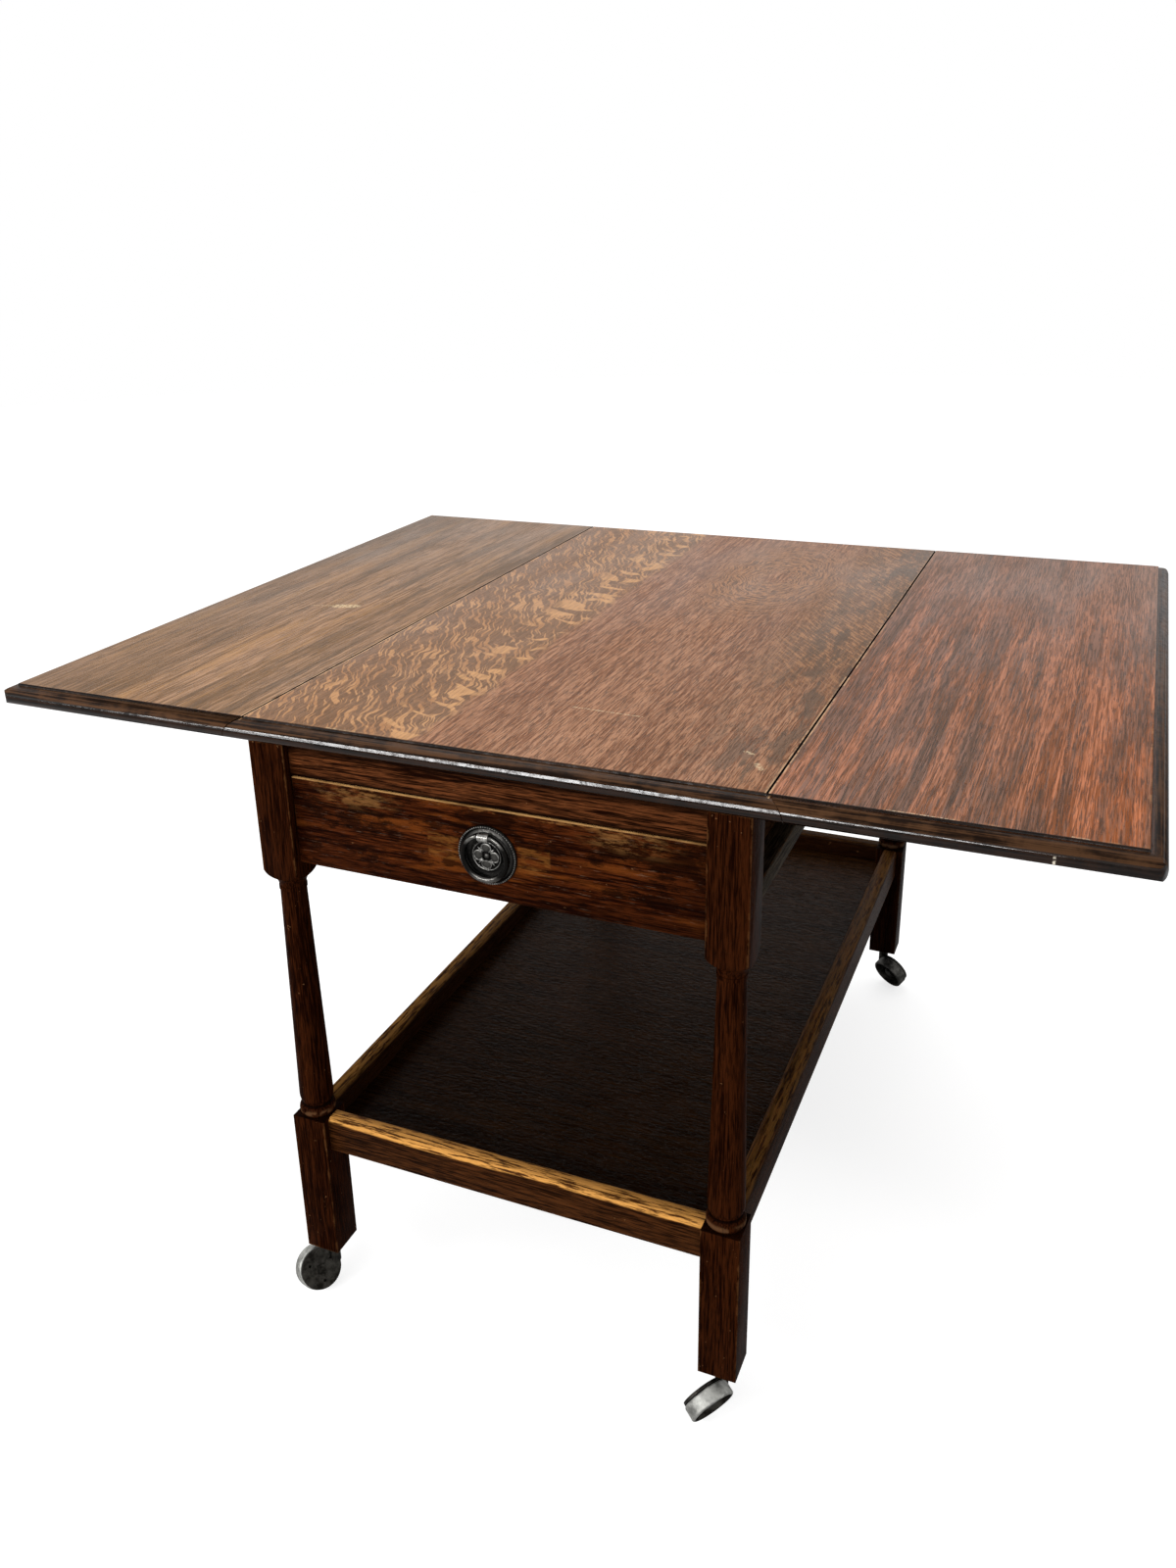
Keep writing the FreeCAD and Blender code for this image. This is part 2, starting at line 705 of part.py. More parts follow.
# Leaf hinges: knuckles on the rule joint's own axis, short plate under the board, long plate under the leaf
KNUCKLES = 5
KNUCKLE = f"(hinge_width / {KNUCKLES})"
PLATE_TOP = "underside - plate_gap"


def hinge(label, middle, fixed):
    """One plate of a hinge, bored through the knuckles that belong to it."""
    ends = (f"({middle} - hinge_width / 2)", f"({middle} + hinge_width / 2)")
    if fixed:
        span = ("seam - knuckle_room - hinge_short", "seam - knuckle_room", "seam")
        tab = span[1:]
    else:
        span = ("seam + knuckle_room", "seam + knuckle_room + hinge_long")
        tab = ("seam", span[0])
    low = f"{PLATE_TOP} - hinge_plate"
    pieces = [block(f"{label}_plate", (span[0], ends[0], low), (span[1], ends[1], PLATE_TOP))]
    for segment in range(0 if fixed else 1, KNUCKLES, 2):
        start = f"{ends[0]} + {segment} * {KNUCKLE} + stay_gap / 2"
        end = f"{ends[0]} + {segment + 1} * {KNUCKLE} - stay_gap / 2"
        name = f"{label}_{segment}"
        pieces.append(block(f"{name}_tab", (tab[0], start, low), (tab[1], end, PLATE_TOP)))
        pieces.append(rod(f"{name}_barrel", "hinge_knuckle", f"{KNUCKLE} - stay_gap",
                          ("seam", start, "hinge_axis_z"), Y_AXIS))
    pin_bore = rod(f"{label}_bore", "hinge_pin + pin_fit", "hinge_width + 2 * overrun",
                   ("seam", f"{ends[0]} - overrun", "hinge_axis_z"), Y_AXIS)
    return cut(label, joined(f"{label}_blank", *pieces), pin_bore)


def hinge_pin(label, middle):
    start = ("seam", f"{middle} - hinge_width / 2", "hinge_axis_z")
    return rod(label, "hinge_pin", "hinge_width", start, Y_AXIS)


rows = list(enumerate(HINGE_ROWS))
board_plates = [hinge(f"board_hinge_{row}", middle, True) for row, middle in rows]
leaf_plates = [hinge(f"leaf_hinge_{row}", middle, False) for row, middle in rows]
pins = [hinge_pin(f"hinge_pin_{row}", middle) for row, middle in rows]
keep_pair(group("board_hinge_plates_right", board_plates))
keep_pair(group("leaf_hinge_plates_right", leaf_plates))
keep_pair(group("hinge_pins_right", pins))

# Leaf stays: a long arm from the side bar and a short arm from the leaf, straight when the leaf is up
PIVOT_X = "seam - stay_inset"
PIVOT_Z = "hinge_axis_z - stay_fall"
HOOK_X = "seam + stay_reach"
HOOK_Z = "hinge_axis_z - stay_inset"
LONG_Y = "stay_gap"
SHORT_Y = "2 * stay_gap + stay_thick"
EAR_Y = "3 * stay_gap + 2 * stay_thick"


def stay_arm(label, length, pivot, turn):
    """A flat arm with round ends, bored at its pivot, lying from the pivot along the open stay."""
    arm = new_body(f"{label}_strap")
    radius = "stay_width / 2"
    strap = [
        ("0", f"-{radius}"),
        (length, f"-{radius}", radius, 1),
        (f"{length} + {radius}", "0", radius, 1),
        (length, radius),
        ("0", radius, radius, 1),
        (f"-{radius}", "0", radius, 1),
    ]
    pad(arm, outline(arm, "XZ_Plane", strap), "stay_thick")
    arm.Placement = FreeCAD.Placement(FreeCAD.Vector(), FreeCAD.Rotation(Y_AXIS, -turn))
    place(arm, pivot[0], f"{pivot[1]} + stay_thick / 2", pivot[2])
    return arm


rise_angle = math.degrees(math.atan2(size("stay_fall - stay_inset"), size("stay_reach + stay_inset")))
elbow_x = f"({PIVOT_X} + stay_long * (stay_reach + stay_inset) / stay_open)"
elbow_z = f"({PIVOT_Z} + stay_long * (stay_fall - stay_inset) / stay_open)"
long_arm = stay_arm("stay_long_arm_right", "stay_long", (PIVOT_X, LONG_Y, PIVOT_Z), rise_angle)
short_arm = stay_arm("stay_short_arm_right", "stay_short", (HOOK_X, SHORT_Y, HOOK_Z), rise_angle + 180)
bore_length = "stay_thick + 2 * overrun"
long_bore = rod("stay_long_bore", "stay_pin + pin_fit", bore_length,
                (PIVOT_X, f"{LONG_Y} - overrun", PIVOT_Z), Y_AXIS)
short_bore = rod("stay_short_bore", "stay_pin + pin_fit", bore_length,
                 (HOOK_X, f"{SHORT_Y} - overrun", HOOK_Z), Y_AXIS)
rivet_length = "stay_head + stay_thick / 2"
long_rivet = rod("stay_long_rivet", "stay_head_radius", rivet_length,
                 (elbow_x, f"{LONG_Y} - stay_head", elbow_z), Y_AXIS)
short_rivet = rod("stay_short_rivet", "stay_head_radius", rivet_length,
                  (elbow_x, f"{SHORT_Y} + stay_thick / 2", elbow_z), Y_AXIS)
keep_pair(joined("stay_long_arm_right", cut("stay_long_strap_bored", long_arm, long_bore), long_rivet))
keep_pair(joined("stay_short_arm_right", cut("stay_short_strap_bored", short_arm, short_bore), short_rivet))

bar_plate = block(
    "stay_bar_plate",
    ("rail_face_x", "-stay_plate_length / 2", "runner_z - stay_plate_height / 2"),
    ("rail_face_x + stay_plate", "stay_plate_length / 2", "runner_z + stay_plate_height / 2"),
)
bar_ear = block(
    "stay_bar_ear",
    ("rail_face_x", "-stay_lug", f"{PIVOT_Z} - stay_width / 2"),
    (PIVOT_X, "0", f"{PIVOT_Z} + stay_width / 2"),
)
bar_eye = rod("stay_bar_eye", "stay_width / 2", "stay_lug", (PIVOT_X, "-stay_lug", PIVOT_Z), Y_AXIS)
bar_pin = rod("stay_bar_pin", "stay_pin", f"stay_lug + {SHORT_Y}", (PIVOT_X, "-stay_lug", PIVOT_Z), Y_AXIS)
bar_head = rod("stay_bar_head", "stay_head_radius", "stay_head", (PIVOT_X, SHORT_Y, PIVOT_Z), Y_AXIS)
keep_pair(joined("stay_bar_bracket_right", bar_plate, bar_ear, bar_eye, bar_pin, bar_head))
leaf_plate = block(
    "stay_leaf_plate",
    (f"{HOOK_X} - stay_plate_height / 2", EAR_Y, "underside - stay_plate"),
    (f"{HOOK_X} + stay_plate_height / 2", f"{EAR_Y} + stay_plate_length", "underside"),
)
leaf_ear = block(
    "stay_leaf_ear",
    (f"{HOOK_X} - stay_width / 2", EAR_Y, HOOK_Z),
    (f"{HOOK_X} + stay_width / 2", f"{EAR_Y} + stay_lug", "underside - stay_plate / 2"),
)
leaf_eye = rod("stay_leaf_eye", "stay_width / 2", "stay_lug", (HOOK_X, EAR_Y, HOOK_Z), Y_AXIS)
leaf_pin = rod("stay_leaf_pin", "stay_pin", "stay_gap + stay_thick + stay_lug / 2",
               (HOOK_X, SHORT_Y, HOOK_Z), Y_AXIS)
keep_pair(joined("stay_leaf_bracket_right", leaf_plate, leaf_ear, leaf_eye, leaf_pin))

# Castors: socket in the leg, horn with its round plate, axle with a square head, cupped wheel.
# Each corner has its side, the way its castor has swung, and its hand.
CORNERS = {
    "front_left": (-1, -1, 148, 1),
    "front_right": (1, -1, -33, -1),
    "rear_right": (1, 1, -122, 1),
    "rear_left": (-1, 1, -148, -1),
}
sockets = []
for corner, (side_x, side_y, turn, hand) in CORNERS.items():
    centre = (f"{side_x} * leg_x", f"{side_y} * leg_y", "castor_height")
    below = (*centre[:2], "castor_height - overrun")
    sleeve = rod(f"socket_sleeve_{corner}", "socket_bore + socket_wall", "socket_length", centre)
    sleeve_bore = rod(f"socket_bore_{corner}", "socket_bore", "socket_length + 2 * overrun", below)
    sockets.append(cut(f"socket_{corner}", sleeve, sleeve_bore))
keep(group("castor_sockets", sockets))

tilt = math.radians(size("axle_tilt"))
rim = size("wheel_radius - wheel_edge")
edge_along = size("wheel_width - wheel_edge")
axle_up = edge_along * math.sin(tilt) + rim * math.cos(tilt) + size("wheel_edge")
axle_across = rim * math.sin(tilt) - edge_along * math.cos(tilt)
PLATE_IN = "(-wheel_gap)"
PLATE_OUT = "(-wheel_gap - plate_thick)"
HUB_END = "(hub_length + fit_gap)"
AXLE_END = f"({HUB_END} + washer_thick)"
PLATE_HOLES = 3


def axle_line(side_x, side_y, turn, hand):
    """Where the axle of one castor lies: its own X axis runs along the axle, away from the plate."""
    leg_spot = FreeCAD.Vector(side_x * size("leg_x"), side_y * size("leg_y"), 0)
    swivel = FreeCAD.Placement(leg_spot, FreeCAD.Rotation(Z_AXIS, turn))
    offset = FreeCAD.Vector(axle_across, hand * size("castor_trail"), axle_up)
    return swivel * FreeCAD.Placement(offset, FreeCAD.Rotation(Y_AXIS, size("axle_tilt")))


def on_axle(label, radius, start, end, line, off_centre=FreeCAD.Vector()):
    """A round piece whose axis is the axle line, or runs beside it."""
    item = doc.addObject("Part::Cylinder", label)
    item.setExpression("Radius", bound(radius))
    item.setExpression("Height", bound(f"{end} - {start}"))
    along = FreeCAD.Placement(X_AXIS * size(start) + off_centre, FreeCAD.Rotation(Z_AXIS, X_AXIS))
    item.Placement = line * along
    return item


def castor_wheel(corner, line):
    """A cup: tread wall, web on the plate's side and a hub, with rounded edges."""
    wheel = new_body(f"castor_wheel_{corner}")
    wall_in = "wheel_radius - wheel_wall"
    bore_radius = "axle_radius + pin_fit"
    wheel_outline = [
        ("0", bore_radius),
        ("hub_length", bore_radius),
        ("hub_length", "hub_radius"),
        ("wheel_web", "hub_radius"),
        ("wheel_web", wall_in),
        ("wheel_width", wall_in),
        ("wheel_width", "wheel_radius - wheel_edge", "wheel_edge", 1),
        ("wheel_width - wheel_edge", "wheel_radius"),
        ("wheel_edge", "wheel_radius", "wheel_edge", 1),
        ("0", "wheel_radius - wheel_edge"),
    ]
    spin(wheel, outline(wheel, "XZ_Plane", wheel_outline), "H_Axis")
    wheel.Placement = line
    return wheel


def castor_horn(corner, line, side_x, side_y):
    """Stem and neck under the leg, cut clear of the wheel and joined to the round plate beside it."""
    centre = (f"{side_x} * leg_x", f"{side_y} * leg_y")
    neck_low = "castor_height - fit_gap - neck_length"
    neck = rod(f"horn_neck_{corner}", "neck_radius", "neck_length", (*centre, neck_low))
    room = on_axle(f"horn_room_{corner}", "wheel_radius + wheel_gap", PLATE_IN, "2 * wheel_width", line)
    shoulder = (*centre, "castor_height - fit_gap")
    stem = rod(f"horn_stem_{corner}", "pintle_radius", "pintle_length", shoulder)
    plate = on_axle(f"horn_plate_{corner}", "plate_radius", PLATE_OUT, PLATE_IN, line)
    blank = joined(f"horn_blank_{corner}", cut(f"horn_neck_cut_{corner}", neck, room), plate, stem)
    far = f"({PLATE_OUT} - overrun)"
    holes = [on_axle(f"horn_hole_{corner}", "axle_radius + pin_fit", far, "overrun", line)]
    for number in range(PLATE_HOLES):
        spoke = FreeCAD.Rotation(X_AXIS, 360 / PLATE_HOLES * number).multVec(Z_AXIS)
        beside = spoke * -size("plate_hole_circle")
        name = f"plate_hole_{corner}_{number}"
        holes.append(on_axle(name, "plate_hole", far, "overrun", line, beside))
    return cut(f"castor_horn_{corner}", blank, *holes)


def castor_axle(corner, line):
    """Round axle with a washer beyond the hub and a square head outside the plate."""
    shank = on_axle(f"axle_shank_{corner}", "axle_radius", PLATE_OUT, AXLE_END, line)
    washer = on_axle(f"axle_washer_{corner}", "washer_radius", HUB_END, AXLE_END, line)
    head = doc.addObject("Part::Box", f"axle_head_{corner}")
    for name, text in (("Length", "axle_head_thick"), ("Width", "axle_head"), ("Height", "axle_head")):
        head.setExpression(name, bound(text))
    half_head = size("axle_head / 2")
    corner_spot = FreeCAD.Vector(size(f"{PLATE_OUT} - axle_head_thick"), -half_head, -half_head)
    head.Placement = line * FreeCAD.Placement(corner_spot, FreeCAD.Rotation())
    return joined(f"castor_axle_{corner}", shank, washer, head)


for corner, (side_x, side_y, turn, hand) in CORNERS.items():
    line = axle_line(side_x, side_y, turn, hand)
    keep(castor_wheel(corner, line))
    keep(castor_horn(corner, line, side_x, side_y))
    keep(castor_axle(corner, line))

doc.recompute()

failed = [item.Label for item in doc.Objects if {"Invalid", "Error"} & set(item.State)]
if failed:
    raise RuntimeError(f"features that did not build: {failed}")
for node in NODES:
    if node.Shape.isNull() or not node.Shape.isValid():
        raise RuntimeError(f"{node.Label} has no valid shape")
for node in NODES:
    node.Shape.exportStep(f"parts/{node.Label}.step")
    print(node.Label, len(node.Shape.Solids), round(node.Shape.Volume))
print(len(NODES), "nodes")
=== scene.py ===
# %% [markdown]
# # A drop leaf tea trolley in old oak
#
# The joiner's work, the boards, legs, rails, hinges and castors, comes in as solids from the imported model.
# This lesson dresses it: it eases the sharp edges, adds the small ornament of the pull, and gives every piece
# the finish that decades of polish and wear have left on it.

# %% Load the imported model
import json
import math
import bmesh
import bpy
from mathutils import Matrix, Vector


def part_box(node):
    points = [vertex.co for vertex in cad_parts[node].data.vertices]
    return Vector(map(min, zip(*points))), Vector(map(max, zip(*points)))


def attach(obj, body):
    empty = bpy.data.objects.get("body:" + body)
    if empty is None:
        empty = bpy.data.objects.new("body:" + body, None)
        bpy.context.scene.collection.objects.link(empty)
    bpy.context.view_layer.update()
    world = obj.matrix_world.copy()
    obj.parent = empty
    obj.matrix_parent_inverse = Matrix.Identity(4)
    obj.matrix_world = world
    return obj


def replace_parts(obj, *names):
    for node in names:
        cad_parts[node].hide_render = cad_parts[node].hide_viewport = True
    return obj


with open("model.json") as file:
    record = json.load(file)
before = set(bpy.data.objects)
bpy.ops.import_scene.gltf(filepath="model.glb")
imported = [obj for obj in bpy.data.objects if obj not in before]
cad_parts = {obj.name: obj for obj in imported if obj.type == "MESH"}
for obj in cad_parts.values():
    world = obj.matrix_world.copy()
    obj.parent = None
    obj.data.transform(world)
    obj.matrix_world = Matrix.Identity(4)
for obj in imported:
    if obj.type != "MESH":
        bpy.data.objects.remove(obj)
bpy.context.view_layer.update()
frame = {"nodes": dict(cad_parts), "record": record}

nodes = frame["nodes"]
bodies = frame["record"]["behaviour"]["bodies"]
body_of_node = {node: body for body, members in bodies.items() for node in members}
scene = bpy.context.scene

# %% [markdown]
# ## The camera
#
# A camera can be aimed by eye, but here its place was solved from the straight edges of the trolley, so the
# render and the picture line up edge for edge. The three angles turn it to the left, tip it down and tilt it.

# %% Camera at the viewing angle of the picture
YAW, PITCH, ROLL = -0.4159, 0.3663, -0.0239
EYE = (0.4861, -1.3399, 1.0929)
FOCAL_PIXELS, IMAGE_HEIGHT, SENSOR_HEIGHT = 1312.8, 1600, 36
SHIFT_X, SHIFT_Y = 0.0106, -0.0384
forward = Vector((math.sin(YAW) * math.cos(PITCH), math.cos(YAW) * math.cos(PITCH), -math.sin(PITCH)))
level = Vector((math.cos(YAW), -math.sin(YAW), 0))
plumb = forward.cross(level)
image_right = level * math.cos(ROLL) - plumb * math.sin(ROLL)
image_down = level * math.sin(ROLL) + plumb * math.cos(ROLL)

camera_data = bpy.data.cameras.new("camera")
camera_data.sensor_fit = "VERTICAL"
camera_data.sensor_height = SENSOR_HEIGHT
camera_data.lens = FOCAL_PIXELS / IMAGE_HEIGHT * SENSOR_HEIGHT
camera_data.shift_x = SHIFT_X
camera_data.shift_y = SHIFT_Y
camera = bpy.data.objects.new("camera", camera_data)
turn = Matrix((image_right, -image_down, -forward)).transposed()
camera.matrix_world = Matrix.Translation(EYE) @ turn.to_4x4()
scene.collection.objects.link(camera)
scene.camera = camera
print("lens", round(camera_data.lens, 2), "mm")

# %% [markdown]
# ## Light and floor
#
# The trolley was pictured against plain white in soft daylight. A white world gives the even light, a large
# soft lamp above and behind lights the top, and a long low strip in front, like a window, draws the thin
# bright line along every rounded edge. The floor is a matt white disc that keeps the shadow; the rays of the
# camera see it a little brighter, so that it melts into the white behind it.

# %% World and view
SKY_ON_WOOD, SKY_SEEN = 0.38, 1.0
scene.view_settings.view_transform = "Standard"
world = bpy.data.worlds.new("daylight")
scene.world = world
world.use_nodes = True
sky = world.node_tree
sky.nodes.clear()
sky_out = sky.nodes.new("ShaderNodeOutputWorld")
sky_light = sky.nodes.new("ShaderNodeBackground")
sky_light.inputs["Color"].default_value = (1, 1, 1, 1)
sky_rays = sky.nodes.new("ShaderNodeLightPath")
strength = sky.nodes.new("ShaderNodeMapRange")
strength.inputs["To Min"].default_value = SKY_ON_WOOD
strength.inputs["To Max"].default_value = SKY_SEEN
seen = None
for ray in ("Is Camera Ray", "Is Glossy Ray", "Is Transmission Ray"):
    either = sky.nodes.new("ShaderNodeMath")
    either.operation = "MAXIMUM"
    sky.links.new(sky_rays.outputs[ray], either.inputs[0])
    if seen:
        sky.links.new(seen, either.inputs[1])
    seen = either.outputs[0]
sky.links.new(seen, strength.inputs["Value"])
sky.links.new(strength.outputs[0], sky_light.inputs["Strength"])
sky.links.new(sky_light.outputs[0], sky_out.inputs[0])
print("view transform", scene.view_settings.view_transform)

# %% Lamps
def soft_lamp(name, where, aim, width, height, power):
    """A large rectangular lamp turned towards a point."""
    data = bpy.data.lights.new(name, "AREA")
    data.shape = "RECTANGLE"
    data.size = width
    data.size_y = height
    data.energy = power
    lamp = bpy.data.objects.new(name, data)
    lamp.location = where
    lamp.rotation_euler = (Vector(aim) - Vector(where)).to_track_quat("-Z", "Y").to_euler()
    scene.collection.objects.link(lamp)


soft_lamp("lamp_above", where=(-0.5, 0.9, 2.3), aim=(0, 0.1, 0.6), width=1.8, height=1.2, power=18)
soft_lamp("lamp_window", where=(-0.9, -2.5, 1.20), aim=(0, -0.44, 0.66), width=2.8, height=0.13, power=50)

# %% Floor
FLOOR_RADIUS, FLOOR_GREY, FLOOR_LIFT = 9, 0.55, 0.72
floor_mesh = bpy.data.meshes.new("floor")
bm = bmesh.new()
bmesh.ops.create_circle(bm, cap_ends=True, segments=96, radius=FLOOR_RADIUS)
bm.to_mesh(floor_mesh)
bm.free()
floor = bpy.data.objects.new("floor", floor_mesh)
scene.collection.objects.link(floor)
paint = bpy.data.materials.new("floor_white")
paint.use_nodes = True
tree = paint.node_tree
tree.nodes.clear()
paint_out = tree.nodes.new("ShaderNodeOutputMaterial")
paint_matt = tree.nodes.new("ShaderNodeBsdfDiffuse")
paint_matt.inputs["Color"].default_value = (FLOOR_GREY, FLOOR_GREY, FLOOR_GREY, 1)
paint_glow = tree.nodes.new("ShaderNodeEmission")
paint_sum = tree.nodes.new("ShaderNodeAddShader")
paint_rays = tree.nodes.new("ShaderNodeLightPath")
paint_lift = tree.nodes.new("ShaderNodeMath")
paint_lift.operation = "MULTIPLY"
paint_lift.inputs[1].default_value = FLOOR_LIFT
tree.links.new(paint_rays.outputs["Is Camera Ray"], paint_lift.inputs[0])
tree.links.new(paint_lift.outputs[0], paint_glow.inputs["Strength"])
tree.links.new(paint_matt.outputs[0], paint_sum.inputs[0])
tree.links.new(paint_glow.outputs[0], paint_sum.inputs[1])
tree.links.new(paint_sum.outputs[0], paint_out.inputs[0])
floor_mesh.materials.append(paint)
print("floor laid")

# %% [markdown]
# ## A short way to build finishes
#
# Every finish is a tree of shader nodes. Adding each node by hand is long, so these two small helpers add the
# few kinds that wood and metal need. The first does sums with values and places. The second makes a material,
# with noise, soft steps, mixes of colour and a bump at the end. Constant values go straight onto the shader.

# %% Sums in a tree of nodes
class NodeSums:
    """Short calls for nodes that reckon with values and places."""

    def add(self, kind, **settings):
        node = self.tree.nodes.new(kind)
        for name, value in settings.items():
            setattr(node, name, value)
        return node

    def feed(self, socket, value):
        if isinstance(value, bpy.types.NodeSocket):
            self.tree.links.new(value, socket)
        else:
            socket.default_value = value

    def math(self, operation, first, second=0.0, third=0.0):
        node = self.add("ShaderNodeMath", operation=operation)
        for socket, value in zip(node.inputs, (first, second, third)):
            self.feed(socket, value)
        return node.outputs[0]

    def times(self, first, second):
        return self.math("MULTIPLY", first, second)

    def minus(self, first, second):
        return self.math("SUBTRACT", first, second)

    def plus(self, base, value, share):
        """A share of a value, added to a base."""
        return self.math("MULTIPLY_ADD", value, share, base)

    def size(self, value):
        """A value without its sign, which makes left and right, or front and rear, alike."""
        return self.math("ABSOLUTE", value)

    def apart(self, first, second):
        """How far two values lie apart."""
        return self.size(self.minus(first, second))

    def most(self, first, *others):
        """The greatest of some values."""
        for other in others:
            first = self.math("MAXIMUM", first, other)
        return first

    def vector(self, operation, first, second=(0, 0, 0)):
        node = self.add("ShaderNodeVectorMath", operation=operation)
        self.feed(node.inputs[0], first)
        self.feed(node.inputs["Scale" if operation == "SCALE" else 1], second)
        return node.outputs["Value" if operation in ("DOT_PRODUCT", "LENGTH") else "Vector"]

    def gather(self, x, y, z=0.0):
        node = self.add("ShaderNodeCombineXYZ")
        for socket, value in zip(node.inputs, (x, y, z)):
            self.feed(socket, value)
        return node.outputs[0]

    def split(self, vector):
        node = self.add("ShaderNodeSeparateXYZ")
        self.feed(node.inputs[0], vector)
        return tuple(node.outputs)


print("sums ready")

# %% The finish helper
class Finish(NodeSums):
    """A new material, with short calls for the nodes that it is built from."""

    def __init__(self, name):
        self.material = bpy.data.materials.new(name)
        self.material.use_nodes = True
        self.tree = self.material.node_tree
        self.tree.nodes.clear()
        self.shader = self.add("ShaderNodeBsdfPrincipled")
        result = self.add("ShaderNodeOutputMaterial")
        self.tree.links.new(self.shader.outputs[0], result.inputs[0])
        self.place = self.add("ShaderNodeTexCoord").outputs["Object"]
        self.x, self.y, self.z = self.split(self.place)

    def noise(self, vector, detail=2.0, roughness=0.5, distortion=0.0, colour=False):
        node = self.add("ShaderNodeTexNoise")
        self.feed(node.inputs["Vector"], vector)
        settings = {"Scale": 1.0, "Detail": detail, "Roughness": roughness, "Distortion": distortion}
        for name, value in settings.items():
            node.inputs[name].default_value = value
        return node.outputs[1 if colour else 0]

    def scaled(self, factor):
        """The place on the object, scaled alike in all directions, or by its own factor in each."""
        return self.vector("MULTIPLY" if isinstance(factor, tuple) else "SCALE", self.place, factor)

    def cloud(self, factor, detail=2.0, roughness=0.5, distortion=0.0):
        """Noise over the scaled place."""
        return self.noise(self.scaled(factor), detail, roughness, distortion)

    def step(self, value, low, high, first=0.0, last=1.0):
        """A soft step: first below low, last above high."""
        node = self.add("ShaderNodeMapRange", interpolation_type="SMOOTHSTEP")
        sockets = {"Value": value, "From Min": low, "From Max": high, "To Min": first, "To Max": last}
        for name, item in sockets.items():
            self.feed(node.inputs[name], item)
        return node.outputs[0]

    def mix(self, share, first, second, blend="MIX"):
        node = self.add("ShaderNodeMix", data_type="RGBA", blend_type=blend)
        self.feed(node.inputs[0], share)
        for socket, tone in zip((node.inputs[6], node.inputs[7]), (first, second)):
            self.feed(socket, tone if isinstance(tone, bpy.types.NodeSocket) else (*tone, 1))
        return node.outputs[2]

    def tint(self, base, mask, share, tone):
        """Lay a share of a tone over a base, where a mask is set."""
        return self.mix(self.times(mask, share), base, tone)

    def finish(self, colour, roughness, height=None, depth=0.0002, metallic=0.0, shine=0.5):
        """Join the tree to the shader. The bump's depth is in metres, and shine is the strength of gloss."""
        self.feed(self.shader.inputs["Base Color"], colour)
        self.feed(self.shader.inputs["Roughness"], roughness)
        self.shader.inputs["Metallic"].default_value = metallic
        self.shader.inputs["Specular IOR Level"].default_value = shine
        if height is not None:
            bump = self.add("ShaderNodeBump")
            bump.inputs["Strength"].default_value = 1.0
            bump.inputs["Distance"].default_value = depth
            self.feed(bump.inputs["Height"], height)
            self.tree.links.new(bump.outputs[0], self.shader.inputs["Normal"])
        return self.material


print("finish helper ready")

# %% [markdown]
# ## Oak grain
#
# Oak shows four things at this distance: broad bands of tone, streaks a few millimetres wide, fine lines, and
# short dark pores. All four are noise that is stretched along the grain. The place is first pushed about a
# little, so the lines wander as they do in a real board.

# %% Grain helper
WANDER = 0.007
MIDDLE_GREY = (0.5, 0.5, 0.5)


def stretched(f, place, run, across, along):
    """Scale a place so that noise on it is long in the direction of the grain."""
    scale = [across, across, across]
    scale["xyz".index(run)] = along
    return f.vector("MULTIPLY", place, tuple(scale))


def pushed_about(f, noise, reach):
    """The place, moved to and fro by up to half of the reach."""
    return f.vector("ADD", f.place, f.vector("SCALE", f.vector("SUBTRACT", noise, MIDDLE_GREY), reach))


def oak_grain(f, run, dark, light, pore, pore_share=0.55, short=1.0, fine=1.0):
    """Colour, height and fine lines of oak whose grain runs along x, y or z.

    A short below 1 draws all lines out, and a fine above 1 narrows the streaks.
    """
    place = pushed_about(f, f.noise(stretched(f, f.place, run, 9, 2.2), colour=True), WANDER)
    bands = f.noise(stretched(f, place, run, 28, 0.9), detail=3, roughness=0.55)
    streaks = f.noise(stretched(f, place, run, 240 * fine, 9 * short), detail=3, roughness=0.65)
    lines = f.noise(stretched(f, place, run, 680, 32 * short), detail=2, roughness=0.65)
    pores = f.noise(stretched(f, place, run, 900, 62 * short), detail=1.5, roughness=0.6)
    tone = f.plus(f.times(bands, 0.2), streaks, 0.32)
    tone = f.plus(tone, lines, 0.48)
    colour = f.mix(f.step(tone, 0.42, 0.58), dark, light)
    pore_mask = f.step(pores, 0.54, 0.61)
    colour = f.tint(colour, pore_mask, pore_share, pore)
    height = f.minus(f.times(lines, 0.5), pore_mask)
    return colour, height, lines


print("grain helper ready")

# %% [markdown]
# ## The three boards of the top
#
# The field of each board is quarter or plain sawn oak with its grain running away from the drawer. A step and
# a rounded moulding frame it, and there the polish has gone nearly black. The underside was never polished.
# One finish for all of it would blur at the edges, so field, moulding, joint and underside each have a finish
# of their own, given out face by face when the boards are made.

# %% Places on the boards
MOULD_WIDTH, HALF_JOINT_GAP, NOSE_DROP = 0.013, 0.0004, 0.00999
board_low, board_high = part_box("top_board")
leaf_low, leaf_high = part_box("right_leaf")
FIELD_Y = board_high.y - MOULD_WIDTH
FIELD_X = leaf_high.x - MOULD_WIDTH
SEAM_X = leaf_low.x - HALF_JOINT_GAP
NOSE_Z = board_high.z - NOSE_DROP
print("field reaches", round(FIELD_X, 4), round(FIELD_Y, 4))

# %% Scratches, and wear round each field
RUBBED_RIM, PAINTED_RIM_SHADE = (0.46, 0.23, 0.10), (0.012, 0.005, 0.003)
RUBBED_SEAM, SEAM_LINE = (0.60, 0.36, 0.19), (0.014, 0.006, 0.003)


